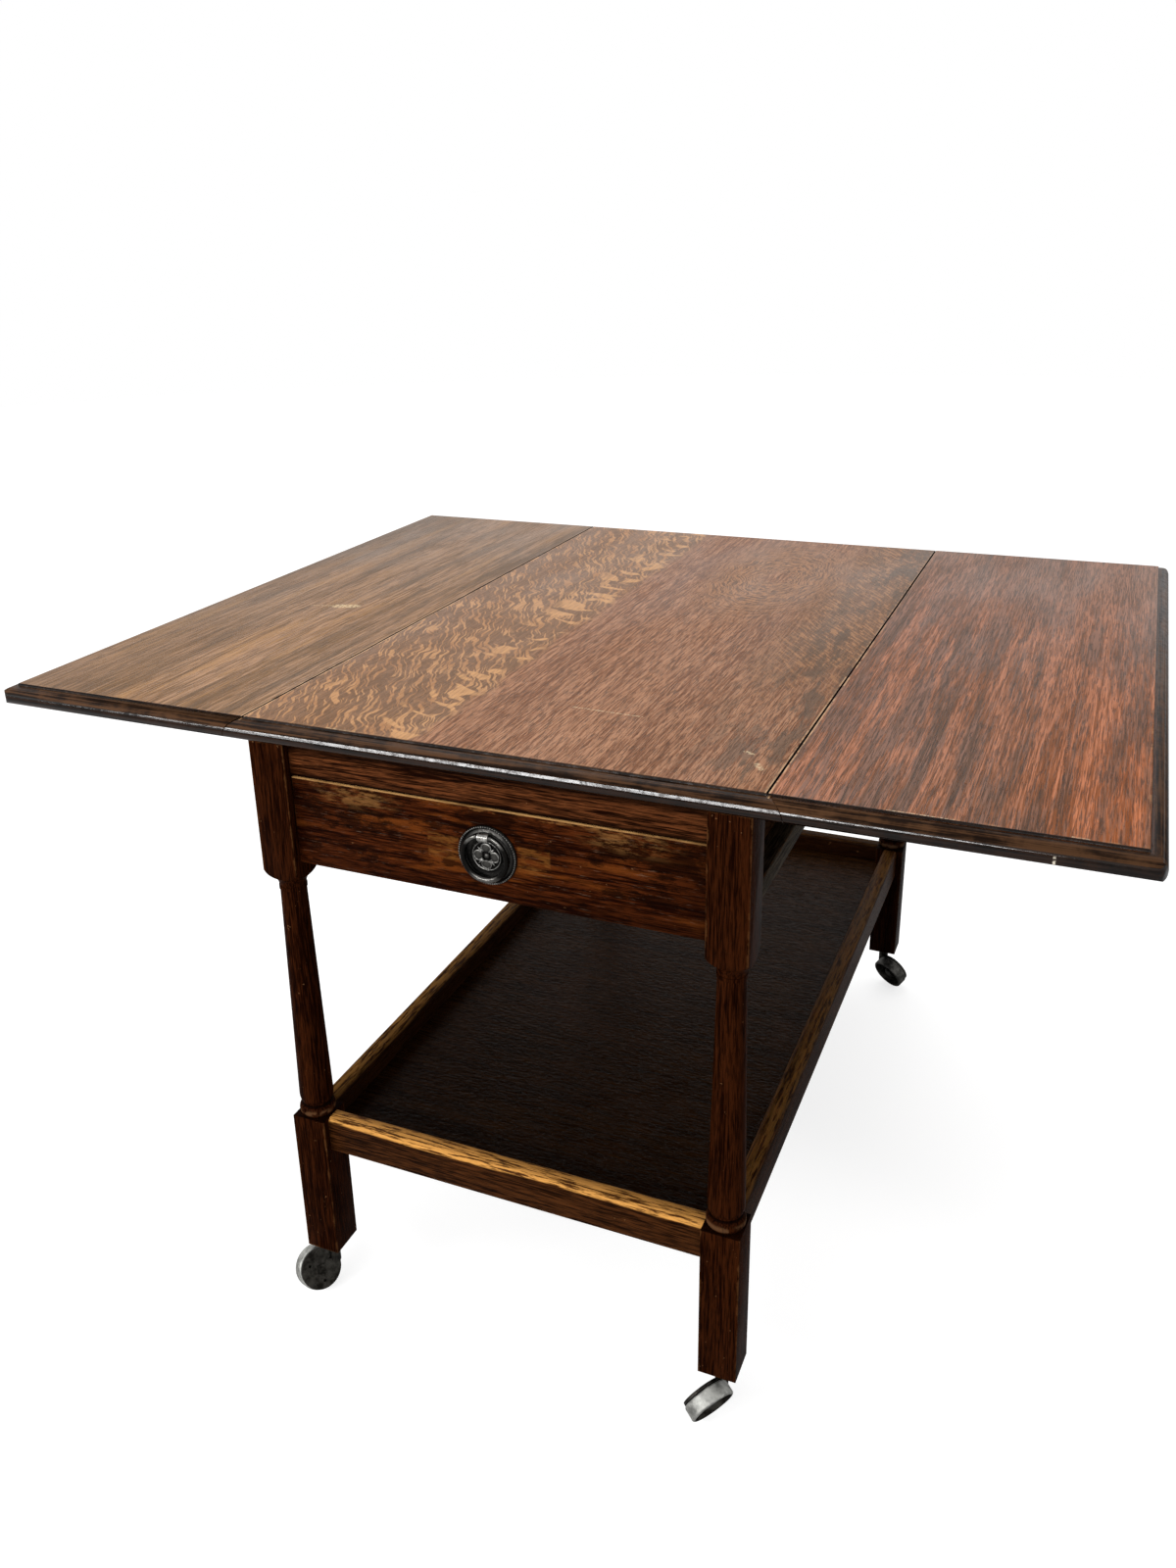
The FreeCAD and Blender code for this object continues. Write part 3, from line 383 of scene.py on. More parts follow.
def scratch(f, start, end, width):
    """A straight ragged mark on a level surface between two points of its plane."""
    run = Vector((*end, 0)) - Vector((*start, 0))
    flat = f.vector("MULTIPLY", f.vector("SUBTRACT", f.place, (*start, 0)), (1, 1, 0))
    share = f.math("DIVIDE", f.vector("DOT_PRODUCT", flat, tuple(run)), run.length_squared)
    share = f.math("MINIMUM", f.most(share, 0.0), 1.0)
    off = f.vector("SUBTRACT", flat, f.vector("SCALE", tuple(run), share))
    ragged = f.cloud(400)
    return f.step(f.vector("LENGTH", off), width * 0.3, width, f.step(ragged, 0.38, 0.6), 0.0)


def scratches(f, marks):
    """Several marks, each given by its start, its end and its width."""
    return f.most(*[scratch(f, *mark) for mark in marks])


def framed(f, field, height):
    """Rub the rim of a board's field, paint shade along the step at its edge, darken its joints and finish it.
    """
    past_rim = f.most(f.minus(f.size(f.x), FIELD_X), f.minus(f.size(f.y), FIELD_Y))
    patchy = f.cloud(55, detail=4, roughness=0.7)
    rubbed = f.times(f.step(past_rim, -0.004, -0.0012), f.step(patchy, 0.5, 0.66))
    field = f.tint(field, rubbed, 0.5, RUBBED_RIM)
    # The dark line along the field's edge is painted shade of the step down to the moulding.
    field = f.tint(field, f.step(past_rim, -0.0012, -0.0002), 0.8, PAINTED_RIM_SHADE)
    from_seam = f.apart(f.size(f.x), SEAM_X)
    wear = f.step(f.cloud(34, detail=4, roughness=0.7), 0.42, 0.54)
    wear = f.times(wear, f.step(f.y, -0.15, 0.2, 1.0, 0.3))
    worn_seam = f.times(f.step(from_seam, 0.0018, 0.0029, 1.0, 0.0), wear)
    field = f.tint(field, worn_seam, 0.85, RUBBED_SEAM)
    field = f.mix(f.step(from_seam, 0.0009, 0.0015, 0.85, 0.0), field, SEAM_LINE)
    gloss = f.cloud((18, 5, 18), detail=3)
    return f.finish(field, f.step(gloss, 0.3, 0.7, 0.34, 0.44), height, 0.00028, shine=0.13)


print("wear helpers ready")

# %% Moulding: a dull band on the step and a glossy nose
NOSE_CHIP = ((0.4672, -0.430), (0.4680, -0.446), 0.0014)
CHIP_PALE = (0.78, 0.70, 0.56)


def moulding(name, dark, light, shine, roughness):
    """Nearly black oak whose streaks follow the edge: along x at a board's ends, along y at its sides."""
    f = Finish(name)
    at_end = f.step(f.minus(f.size(f.y), FIELD_Y), -0.0005, 0.0005)
    end_streak = f.cloud((8, 420, 420), detail=3, roughness=0.65)
    side_streak = f.cloud((420, 8, 420), detail=3, roughness=0.65)
    cloud = f.cloud(38, detail=4, roughness=0.65)
    grain = f.plus(side_streak, at_end, f.minus(end_streak, side_streak))
    grain = f.plus(grain, f.minus(cloud, 0.5), 0.6)
    colour = f.mix(f.step(grain, 0.38, 0.62), dark, light)
    below_nose = f.step(f.z, board_high.z - 0.013, board_high.z - 0.010, 1.0, 0.0)
    colour = f.mix(f.times(scratch(f, *NOSE_CHIP), below_nose), colour, CHIP_PALE)
    nicks = f.cloud(190, detail=3, roughness=0.7)
    dull = f.plus(f.times(cloud, 0.3), nicks, 0.7)
    return f.finish(colour, f.step(dull, 0.42, 0.62, *roughness), grain, 0.00004, shine=shine)


# The band, which faces up, takes a tone several times lighter than the nose. That is painted light from above:
# a lit copy of the nose's dark oak.
oak_band = moulding("oak_moulding_band", (0.0090, 0.0036, 0.0015), (0.075, 0.034, 0.015),
                    shine=0.05, roughness=(0.30, 0.42))
oak_nose = moulding("oak_moulding_nose", (0.0024, 0.0009, 0.0004), (0.016, 0.0060, 0.0024),
                    shine=0.26, roughness=(0.07, 0.24))
print(oak_band.name, oak_nose.name)

# %% Joints and underside
f = Finish("joint_shadow")
dust = f.cloud(220, detail=3)
colour = f.mix(f.step(dust, 0.4, 0.7), (0.002, 0.001, 0.0007), (0.008, 0.004, 0.0025))
joint_shadow = f.finish(colour, 0.9, dust, 0.0001, shine=0.0)

f = Finish("oak_underside")
tone = f.cloud((120, 4, 120), detail=4)
colour = f.mix(f.step(tone, 0.3, 0.7), (0.05, 0.027, 0.014), (0.13, 0.075, 0.040))
stain = f.cloud(8, detail=5, roughness=0.65)
colour = f.tint(colour, f.step(stain, 0.5, 0.75), 0.6, (0.030, 0.016, 0.009))
oak_underside = f.finish(colour, 0.75, tone, 0.0002, shine=0.25)
print(joint_shadow.name, oak_underside.name)

# %% [markdown]
# ## The figure of each board
#
# The centre board is glued up from two planks. The left one is quarter sawn, so pale ray flecks cross its
# grain: thin slanting strokes, thin curls, and bright crescents near its inner edge. The right one has an
# arched figure and a few short dashes. The left leaf is greyer with long golden streaks, the right one
# redder with smoke. Each figure is noise in a place that is first scaled, turned or bent to its shape.

# %% Centre board: a plank with ray flecks
f = Finish("oak_centre_board")
field, height, lines = oak_grain(f, "y", (0.150, 0.041, 0.002), (0.395, 0.182, 0.088), (0.060, 0.020, 0.002),
                                 pore_share=0.6, fine=1.35)
warped = pushed_about(f, f.noise(f.scaled(24), colour=True), 0.030)
wave_x, wave_y, _ = f.split(warped)
plank = f.step(wave_x, -0.078, -0.060, 1.0, 0.0)
field = f.tint(field, plank, 0.65, (0.150, 0.078, 0.031))
cluster = f.cloud(22)
stroke_long = f.vector("DOT_PRODUCT", warped, (8, -20, 0))
stroke_wide = f.vector("DOT_PRODUCT", warped, (270, 108, 0))
strokes = f.noise(f.gather(stroke_wide, stroke_long, 7.0), detail=0.8, distortion=0.35)
stroke_cut = f.plus(0.645, cluster, -0.20)
stroke_cut = f.math("ADD", stroke_cut, f.step(f.x, -0.25, -0.15, 0.02, 0.0))
stroke_mask = f.step(f.minus(strokes, stroke_cut), -0.012, 0.034)
inward = f.minus(-0.066, f.x)
bow = f.minus(wave_y, f.times(f.times(inward, inward), 5.0))
curls = f.noise(f.gather(f.times(bow, 92), f.times(wave_x, 40), 3.0), detail=0.6, distortion=0.5)
curl_mask = f.step(f.apart(curls, 0.5), 0.004, 0.018, 0.35, 0.0)
large = f.noise(f.gather(f.times(bow, 52), f.times(wave_x, 30), 3.0), detail=0.7, distortion=0.5)
near_edge = f.times(f.step(f.x, -0.150, -0.110), f.step(f.x, -0.068, -0.060, 1.0, 0.0))
crescents = f.times(f.step(large, 0.55, 0.62), near_edge)
fleck_mask = f.most(stroke_mask, curl_mask, crescents)
fleck_mask = f.times(fleck_mask, f.step(lines, 0.30, 0.55, 0.45, 1.0))
fleck_tone = f.mix(f.step(cluster, 0.4, 0.62), (0.400, 0.180, 0.064), (0.540, 0.270, 0.108))
fleck_tone = f.tint(fleck_tone, crescents, 0.8, (0.640, 0.330, 0.130))
field = f.tint(field, f.times(fleck_mask, plank), 0.9, fleck_tone)
print("ray flecks take", len(f.tree.nodes), "nodes")

# %% Centre board: dashes and an arched figure
ARCH_X, ARCH_Y, ARCH_SQUASH = 0.085, 0.225, 0.45
dash_long = f.vector("DOT_PRODUCT", f.place, (24, -34, 0))
dash_wide = f.vector("DOT_PRODUCT", f.place, (246, 172, 0))
dashes = f.noise(f.gather(dash_long, dash_wide, 5.0), detail=1.5, distortion=0.5)
dash_room = f.times(f.step(wave_x, 0.13, 0.19), f.step(f.y, -0.30, 0.0))
field = f.tint(field, dash_room, 0.7, (0.150, 0.070, 0.027))
field = f.tint(field, f.times(f.step(dashes, 0.52, 0.60), dash_room), 0.75, (0.420, 0.195, 0.078))
arch_x = f.minus(wave_x, ARCH_X)
arch_y = f.times(f.minus(wave_y, ARCH_Y), ARCH_SQUASH)
arch = f.vector("LENGTH", f.gather(arch_x, arch_y))
about = f.math("ARCTAN2", arch_y, arch_x)
arcs = f.noise(f.gather(f.times(arch, 520), f.times(about, 3.2), 9.0), detail=2, roughness=0.6)
arch_room = f.times(f.step(arch, 0.045, 0.115, 1.0, 0.0), f.step(arch, 0.004, 0.020))
arc_tone = f.mix(f.step(arcs, 0.42, 0.58), (0.125, 0.055, 0.021), (0.375, 0.170, 0.070))
field = f.tint(field, arch_room, 0.85, arc_tone)
print("arch centre", ARCH_X, ARCH_Y)

# %% Centre board: blots and pale marks
CENTRE_MARKS = (
    ((0.03, -0.302), (0.10, -0.305), 0.0012),
    ((0.229, -0.377), (0.234, -0.386), 0.004),
    ((0.212, -0.353), (0.219, -0.357), 0.003),
    ((-0.160, -0.4292), (-0.130, -0.4294), 0.0011),
)
blots = f.plus(f.cloud((60, 12, 1), detail=4, roughness=0.65), lines, 0.35)
blot_mask = f.times(f.step(blots, 0.66, 0.76), f.step(f.x, 0.12, 0.235))
field = f.tint(field, blot_mask, 0.7, (0.070, 0.039, 0.018))
field = f.tint(field, scratches(f, CENTRE_MARKS), 0.8, (0.72, 0.55, 0.33))
oak_centre = framed(f, field, height)
print(oak_centre.name, len(oak_centre.node_tree.nodes), "nodes")

# %% Left leaf: greyer, with long golden streaks
LEFT_MARKS = (
    ((-0.377, -0.075), (-0.357, -0.069), 0.0095),
    ((-0.41, -0.083), (-0.38, -0.075), 0.0010),
)
f = Finish("oak_left_leaf")
field, height, lines = oak_grain(f, "y", (0.175, 0.083, 0.024), (0.410, 0.228, 0.125), (0.070, 0.036, 0.014),
                                 short=0.5, fine=1.35)
long_streak = f.cloud((42, 2.6, 1), detail=5, roughness=0.65)
long_streak = f.plus(long_streak, f.minus(lines, 0.5), 0.25)
field = f.tint(field, f.step(long_streak, 0.51, 0.63), 0.6, (0.090, 0.048, 0.020))
field = f.tint(field, f.step(long_streak, 0.34, 0.46, 1.0, 0.0), 0.5, (0.46, 0.235, 0.085))
outer = f.plus(f.x, f.minus(f.cloud((16, 6, 1), detail=3), 0.5), 0.25)
field = f.mix(f.step(outer, -0.53, -0.38, 0.5, 0.0), field, (0.105, 0.062, 0.034))
field = f.mix(f.step(f.y, -0.15, 0.40, 0.0, 0.30), field, (0.080, 0.050, 0.028))
field = f.tint(field, scratches(f, LEFT_MARKS), 0.9, (0.80, 0.60, 0.34))
oak_left = framed(f, field, height)
print(oak_left.name, len(oak_left.node_tree.nodes), "nodes")

# %% Right leaf: redder and darker, with smoky streaks
RIGHT_SCRATCH = ((0.466, -0.431), (0.461, -0.12), 0.0009)
RIGHT_NICKS = (
    ((0.345, -0.4292), (0.395, -0.4294), 0.0011),
    ((0.478, -0.4290), (0.490, -0.4292), 0.0012),
)
f = Finish("oak_right_leaf")
field, height, lines = oak_grain(f, "y", (0.165, 0.044, 0.002), (0.430, 0.158, 0.074), (0.040, 0.013, 0.002),
                                 pore_share=0.6, short=0.6, fine=1.45)
smoke = f.cloud((70, 5, 1), detail=5, roughness=0.7, distortion=0.2)
smoke = f.plus(smoke, f.minus(lines, 0.5), 0.5)
smoke_mask = f.step(f.plus(smoke, f.cloud((9, 3, 1)), 0.4), 0.675, 0.765)
smoke_mask = f.times(smoke_mask, f.step(f.y, 0.0, 0.3, 0.8, 0.4))
field = f.mix(smoke_mask, field, (0.34, 0.44, 0.58), "MULTIPLY")
ember = f.times(f.step(f.x, 0.40, 0.53), f.step(f.y, -0.4, 0.1, 1.0, 0.0))
field = f.mix(ember, field, (1.45, 1.25, 1.05), "MULTIPLY")
field = f.mix(f.step(f.y, 0.05, 0.35), field, (0.72, 0.80, 0.85), "MULTIPLY")
field = f.tint(field, scratch(f, *RIGHT_SCRATCH), 0.7, (0.02, 0.008, 0.004))
field = f.tint(field, scratches(f, RIGHT_NICKS), 0.8, (0.72, 0.55, 0.36))
oak_right = framed(f, field, height)
print(oak_right.name, len(oak_right.node_tree.nodes), "nodes")

# %% [markdown]
# ## Legs and rails
#
# Below the top the same oak has gone much darker, and hands and feet have rubbed its edges. Each finish takes
# the direction of its grain, and a mask for the arrises made from the size of its own board. The turned ring
# at the foot of each leg is painted lighter on its crown, partly rubbed and partly painted highlight, and has
# painted shade in the grooves beside it. Painted shade also makes the rear legs darker than the front ones.
# The trolley is alike on both sides, so one finish, folded about the middle, serves all four legs or both
# bars.

# %% Worn arrises and scuffs
ARRIS_WEAR = 0.0022


def folded_box(node):
    """The centre and half size of the box that a piece fills, folded onto the right rear quarter."""
    low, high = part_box(node)
    centre = [abs(a + b) / 2 for a, b in zip(low, high)]
    return centre, [(b - a) / 2 for a, b in zip(low, high)]


def worn_edge(f, centre, half):
    """How worn a board is: 1 on its arrises, fading inwards, broken up by noise.

    An arris lies near two faces of the board, so the second smallest distance to a face tells how near it is.
    """
    gaps = [f.minus(side, f.apart(axis, middle)) for axis, middle, side in zip((f.x, f.y, f.z), centre, half)]
    lowest = f.math("MINIMUM", f.math("MINIMUM", gaps[0], gaps[1]), gaps[2])
    highest = f.most(*gaps)
    total = f.math("ADD", f.math("ADD", gaps[0], gaps[1]), gaps[2])
    second = f.minus(total, f.math("ADD", lowest, highest))
    patches = f.cloud(60, detail=4, roughness=0.65)
    room = f.times(f.step(patches, 0.35, 0.7), ARRIS_WEAR)
    return f.step(f.minus(second, room), -0.0012, 0.0006, 1.0, 0.0)


def scuffs(f, size, amount):
    """Rare small pale nicks scattered over a surface."""
    return f.step(f.cloud(size, detail=3, roughness=0.7), amount, amount + 0.03)


print("arris wear", ARRIS_WEAR)

# %% Dark oak
WARM_DARK, WARM_LIGHT = (0.0045, 0.0009, 0.0002), (0.036, 0.0090, 0.0026)
PORE_BLACK, RUBBED, SCUFFED = (0.003, 0.001, 0.0005), (0.10, 0.040, 0.013), (0.20, 0.095, 0.04)


def dark_oak(name, run, node, dark=WARM_DARK, light=WARM_LIGHT, wear=0.55):
    """Dark polished oak, worn along the arrises of the board it is made for."""
    f = Finish(name)
    colour, height, _ = oak_grain(f, run, dark, light, PORE_BLACK, pore_share=0.5)
    f.x = f.size(f.x)
    f.y = f.size(f.y)
    colour = f.tint(colour, worn_edge(f, *folded_box(node)), wear, RUBBED)
    colour = f.tint(colour, scuffs(f, 170, 0.70), 0.6, SCUFFED)
    return f, colour, height


def plain_dark(name, run, node, roughness, **more):
    """Dark oak with nothing further on it."""
    f, colour, height = dark_oak(name, run, node, **more)
    return f.finish(colour, roughness, height, 0.0003, shine=0.008)


oak_apron = plain_dark("oak_rear_apron", "x", "rear_apron", 0.42)
oak_bar = plain_dark("oak_side_bar", "y", "side_bar_right", 0.42,
                     dark=(0.012, 0.0080, 0.0050), light=(0.066, 0.050, 0.034))
oak_top_rail = plain_dark("oak_top_rail", "y", "top_rail_right", 0.6, wear=0.3)
print(oak_apron.name, oak_bar.name, oak_top_rail.name)

# %% Legs
# The ring at the foot stands on the lower block, which ends level with the rails of the tray.
tray_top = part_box("tray_rail_front")[1].z
CROWN_RISE, GROOVE_REACH = 0.0065, 0.0070
f, colour, height = dark_oak("oak_leg", "z", "leg_rear_right",
                             dark=(0.0060, 0.0012, 0.0003), light=(0.034, 0.0083, 0.0022))
from_crown = f.apart(f.z, tray_top + CROWN_RISE)
# Painted shade darkens the grooves beside the ring.
groove = f.step(f.apart(from_crown, GROOVE_REACH), 0.0006, 0.0020, 0.9, 0.0)
groove = f.times(groove, f.step(f.z, tray_top - 0.0004, tray_top + 0.0002))
colour = f.mix(groove, colour, (0.0025, 0.0007, 0.0003))
# The crown is painted lighter: partly rubbed wood, partly painted highlight.
rubs = f.step(f.cloud(120, detail=3), 0.40, 0.58)
crown = f.times(f.step(from_crown, 0.0010, 0.0040, 0.55, 0.0), rubs)
colour = f.mix(crown, colour, (0.150, 0.072, 0.032))
# Painted shade makes the rear legs darker than the front ones.
rear = f.step(f.vector("DOT_PRODUCT", f.place, (0, 1, 0)), -0.1, 0.1)
colour = f.mix(rear, colour, (0.45, 0.48, 0.55), "MULTIPLY")
oak_leg = f.finish(colour, 0.30, height, 0.0002, shine=0.004)
print(oak_leg.name, len(oak_leg.node_tree.nodes), "nodes")

# %% Frieze: painted shade under the top and above the drawer
frieze_low, frieze_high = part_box("frieze_rail")
f, colour, height = dark_oak("oak_frieze", "x", "frieze_rail",
                             dark=(0.009, 0.0018, 0.0004), light=(0.115, 0.035, 0.0110), wear=0.3)
# Painted shade darkens the frieze just under the top's overhang and along its lower edge above the drawer.
painted_shade_under_top = f.step(f.z, frieze_high.z - 0.014, frieze_high.z - 0.003)
painted_shade_above_drawer = f.step(f.z, frieze_low.z + 0.001, frieze_low.z + 0.005, 1.0, 0.0)
colour = f.tint(colour, f.most(painted_shade_under_top, painted_shade_above_drawer), 0.9, (0.003, 0.0008, 0.0003))
oak_frieze = f.finish(colour, 0.4, height, 0.0003, shine=0.008)
print(oak_frieze.name, len(oak_frieze.node_tree.nodes), "nodes")

# %% [markdown]
# ## The drawer front and the tray
#
# The drawer's red grain shows in flames through soot, and painted shade darkens it towards its bottom and its
# right end. Its top edge is rubbed to bare golden wood, and two pale patches beside the pull show where an
# earlier, wider fitting sat. The tops of the tray rails are worn the same way, most of all at the front, and
# the rear and left rails take darker tones as painted shade. The tray floor is black and still glossy, with
# painted light towards the rear and a painted reflection of the front rail beside it. Masks made from the
# height and from noise say where the polish is gone, so the wear keeps to the edges but looks torn.

# %% Drawer front: flames, soot, hair lines and painted shade
drawer_low, drawer_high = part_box("drawer_front")
f, colour, height = dark_oak("oak_drawer_front", "x", "drawer_front",
                             dark=(0.0085, 0.0012, 0.0002), light=(0.066, 0.0145, 0.0030), wear=0.3)
flame = f.cloud((9, 1, 70), detail=4, roughness=0.6)
colour = f.tint(colour, f.step(flame, 0.53, 0.66), 0.6, (0.150, 0.038, 0.006))
soot = f.cloud((20, 1, 48), detail=6, roughness=0.72)
soot = f.plus(soot, f.step(f.z, drawer_high.z - 0.050, drawer_high.z - 0.010), 0.07)
colour = f.tint(colour, f.step(soot, 0.51, 0.60), 0.75, (0.0045, 0.0010, 0.0003))
hairs = f.cloud((46, 1, 760), detail=3, roughness=0.7)
colour = f.tint(colour, f.step(hairs, 0.63, 0.70), 0.4, (0.170, 0.105, 0.070))
# Painted shade darkens the front towards its bottom and its right end.
painted_shade_below = f.step(f.z, drawer_low.z + 0.002, drawer_low.z + 0.028, 1.0, 0.0)
colour = f.tint(colour, f.most(painted_shade_below, f.step(f.x, 0.15, 0.21)), 0.5, (0.006, 0.0012, 0.0004))
print("drawer front darkened")

# %% Drawer front: bare edge and pale patches
PATCH_X, PATCH_Z = 0.045, 0.576
ragged = f.cloud((50, 50, 220), detail=4, roughness=0.7)
top_gap = f.minus(drawer_high.z, f.z)
rub_room = f.times(f.step(ragged, 0.50, 0.72), 0.0040)
rub = f.step(f.minus(top_gap, rub_room), 0.0002, 0.0016, 1.0, 0.0)
colour = f.tint(colour, rub, 0.55, (0.20, 0.085, 0.024))
bare_edge = f.step(f.cloud((26, 1, 1), detail=3), 0.34, 0.55, 0.3, 1.0)
bare_edge = f.times(bare_edge, f.step(top_gap, 0.0006, 0.0015, 1.0, 0.0))
colour = f.tint(colour, bare_edge, 0.9, (0.50, 0.275, 0.100))
patch_x = f.step(f.apart(f.x, PATCH_X), 0.0145, 0.0170, 1.0, 0.0)
patch_z = f.step(f.apart(f.z, PATCH_Z), 0.0110, 0.0135, 1.0, 0.0)
patches = f.times(f.times(patch_x, patch_z), f.step(ragged, 0.42, 0.6))
colour = f.tint(colour, patches, 0.5, (0.190, 0.070, 0.014))
bare = f.times(f.step(f.x, 0.08, 0.12), f.step(f.x, 0.15, 0.19, 1.0, 0.0))
bare = f.times(bare, f.step(top_gap, 0.012, 0.026, 1.0, 0.0))
colour = f.tint(colour, f.times(bare, f.step(ragged, 0.45, 0.62)), 0.6, (0.22, 0.10, 0.03))
oak_drawer = f.finish(colour, 0.34, height, 0.0003, shine=0.01)
print(oak_drawer.name, len(oak_drawer.node_tree.nodes), "nodes")

# %% Tray rails
# Each rail has the run of its grain, the share and the depth of bare wood on its crown, and its lighter tone.
# The rear and left rails take darker tones as painted shade.
TRAY_RAILS = {
    "front": ("x", 0.95, 0.0052, (0.068, 0.022, 0.006)),
    "rear": ("x", 0.05, 0.002, (0.018, 0.0060, 0.0018)),
    "left": ("y", 0.30, 0.002, (0.026, 0.0085, 0.0024)),
    "right": ("y", 0.11, 0.002, (0.046, 0.0150, 0.0042)),
}
GOLDEN, GOLDEN_PORE = (0.74, 0.350, 0.085), (0.07, 0.024, 0.006)


def tray_rail(end, run, bare, depth, light):
    """A dark rail whose rounded top is rubbed down to golden wood, most on its outer half."""
    node = f"tray_rail_{end}"
    f, colour, height = dark_oak(f"oak_{node}", run, node,
                                 dark=(0.009, 0.0024, 0.0006), light=light, wear=0.3)
    streak = f.noise(stretched(f, f.place, run, 420, 34), detail=4, roughness=0.65)
    patch = f.noise(stretched(f, f.place, run, 40, 5), detail=3)
    room = f.times(f.step(patch, 0.25, 0.6), depth)
    rub = f.step(f.minus(f.minus(tray_top, f.z), room), -0.0008, 0.0018, 1.0, 0.0)
    centre, half = folded_box(node)
    side, axis = (1, f.y) if run == "x" else (0, f.x)
    outer = f.step(axis, centre[side] - 0.5 * half[side], centre[side] + 0.35 * half[side], 0.55, 1.0)
    gold = f.mix(f.step(streak, 0.46, 0.60), GOLDEN, GOLDEN_PORE)
    colour = f.tint(colour, f.times(rub, outer), bare, gold)
    return f.finish(colour, 0.38, height, 0.0003, shine=0.015)


oak_tray = {end: tray_rail(end, *rail) for end, rail in TRAY_RAILS.items()}
print("tray rails", list(oak_tray))

# %% Tray floor: black and glossy, with painted light towards the rear and a painted reflection of the front rail beside it
f = Finish("oak_tray_floor")
colour, height, _ = oak_grain(f, "x", (0.0058, 0.0020, 0.0005), (0.0175, 0.0066, 0.0018),
                              (0.002, 0.001, 0.0004), pore_share=0.4)
rubbed = f.cloud(9, detail=5, roughness=0.65)
colour = f.tint(colour, f.step(rubbed, 0.52, 0.72), 0.5, (0.022, 0.0085, 0.0035))
colour = f.tint(colour, scuffs(f, 330, 0.68), 0.5, (0.09, 0.06, 0.045))
# Painted light makes the floor brighter towards the rear.
colour = f.mix(f.step(f.y, -0.35, 0.1), colour, (1.7, 1.7, 1.6), "MULTIPLY")
# A painted reflection of the golden front rail warms the floor beside it.
colour = f.mix(f.step(f.y, -0.405, -0.365, 0.35, 0.0), colour, (0.030, 0.012, 0.0035))
gloss = f.step(f.cloud(25, detail=4), 0.3, 0.7, 0.13, 0.22)
height = f.plus(height, f.cloud((150, 260, 1), detail=3), 2.5)
oak_tray_floor = f.finish(colour, gloss, height, 0.0004, shine=0.026)
print(oak_tray_floor.name, len(oak_tray_floor.node_tree.nodes), "nodes")

# %% [markdown]
# ## Unpolished wood inside
#
# The drawer's sides, back and bottom, the runners and the glue blocks were left without polish. They are
# paler and drier, and have the same grain, so the grain helper serves for them too.

# %% Inner wood
def raw_wood(name, run):
    """Dry wood without polish, grey with grime in places."""
    f = Finish(name)
    colour, height, _ = oak_grain(f, run, (0.16, 0.085, 0.042), (0.33, 0.19, 0.10), (0.09, 0.05, 0.026))
    grime = f.cloud(12, detail=5, roughness=0.65)
    colour = f.tint(colour, f.step(grime, 0.45, 0.75), 0.55, (0.08, 0.045, 0.025))
    return f.finish(colour, 0.72, height, 0.0002)


raw_along = raw_wood("raw_wood_along", "y")
raw_across = raw_wood("raw_wood_across", "x")
print(raw_along.name, raw_across.name)

# %% [markdown]
# ## Metals
#
# The pull is blackened metal, painted bright on its high points, above all the knuckle and the foot of the
# ring: partly where fingers have polished it, partly painted highlight. The treads of the front castors are
# pale and dull with grey wear, those of the rear ones are darker as painted shade, and the plates are dark and
# mottled. Hinges and stays are dulled steel.

# %% Castors, hinges and the bright parts of the pull
def metal(name, dark, light, roughness, patch):
    """Dull metal, clouded with tarnish."""
    f = Finish(name)
    cloud = f.cloud(patch, detail=5, roughness=0.65)
    fine = f.cloud(patch * 9, detail=3, roughness=0.6)
    colour = f.mix(f.step(cloud, 0.35, 0.68), dark, light)
    colour = f.tint(colour, f.step(fine, 0.55, 0.7), 0.35, dark)
    height = f.plus(cloud, fine, 0.5)
    return f.finish(colour, f.step(cloud, 0.3, 0.7, *roughness), height, 0.0001, metallic=1.0)


# The petal rims and the knuckle are painted bright: partly rubbed metal, partly painted highlight.
pull_bright = metal("pull_high_points", (0.09, 0.087, 0.082), (0.38, 0.37, 0.35), (0.22, 0.36), 220)
pull_knuckle = metal("pull_knuckle_metal", (0.26, 0.25, 0.235), (0.74, 0.72, 0.68), (0.24, 0.38), 220)
castor_pale = metal("castor_tread_metal", (0.25, 0.25, 0.235), (0.52, 0.52, 0.49), (0.50, 0.66), 120)
# The rear treads take a darker copy of the tread metal as painted shade.
castor_dull = metal("castor_dull_tread", (0.035, 0.034, 0.031), (0.13, 0.125, 0.115), (0.46, 0.64), 120)
castor_dark = metal("castor_plate_metal", (0.010, 0.009, 0.0075), (0.058, 0.054, 0.047), (0.4, 0.62), 110)
hinge_steel = metal("hinge_dulled_steel", (0.06, 0.052, 0.045), (0.20, 0.18, 0.16), (0.38, 0.55), 120)
print("tarnished metals ready")

# %% Blackened metal of the pull
BLACKENED = (0.009, 0.0085, 0.008)
plate_low, plate_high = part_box("pull_plate")
boss_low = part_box("pull_boss")[0]
ring_low, ring_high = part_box("pull_ring")


def rubbed_and_highlit_metal(name, low_y, high_y, dark, bright):
    """Blackened metal whose parts nearest to the hand, at high_y, are painted bright: partly rubbed metal,
    partly painted highlight.
    """
    f = Finish(name)
    cloud = f.cloud(260, detail=4, roughness=0.65)
    near = f.step(f.plus(f.y, f.minus(cloud, 0.5), 0.002), high_y, low_y, 1.0, 0.0)
    colour = f.mix(near, dark, bright)
    return f.finish(colour, f.step(cloud, 0.3, 0.7, 0.24, 0.4), cloud, 0.00008, metallic=1.0)


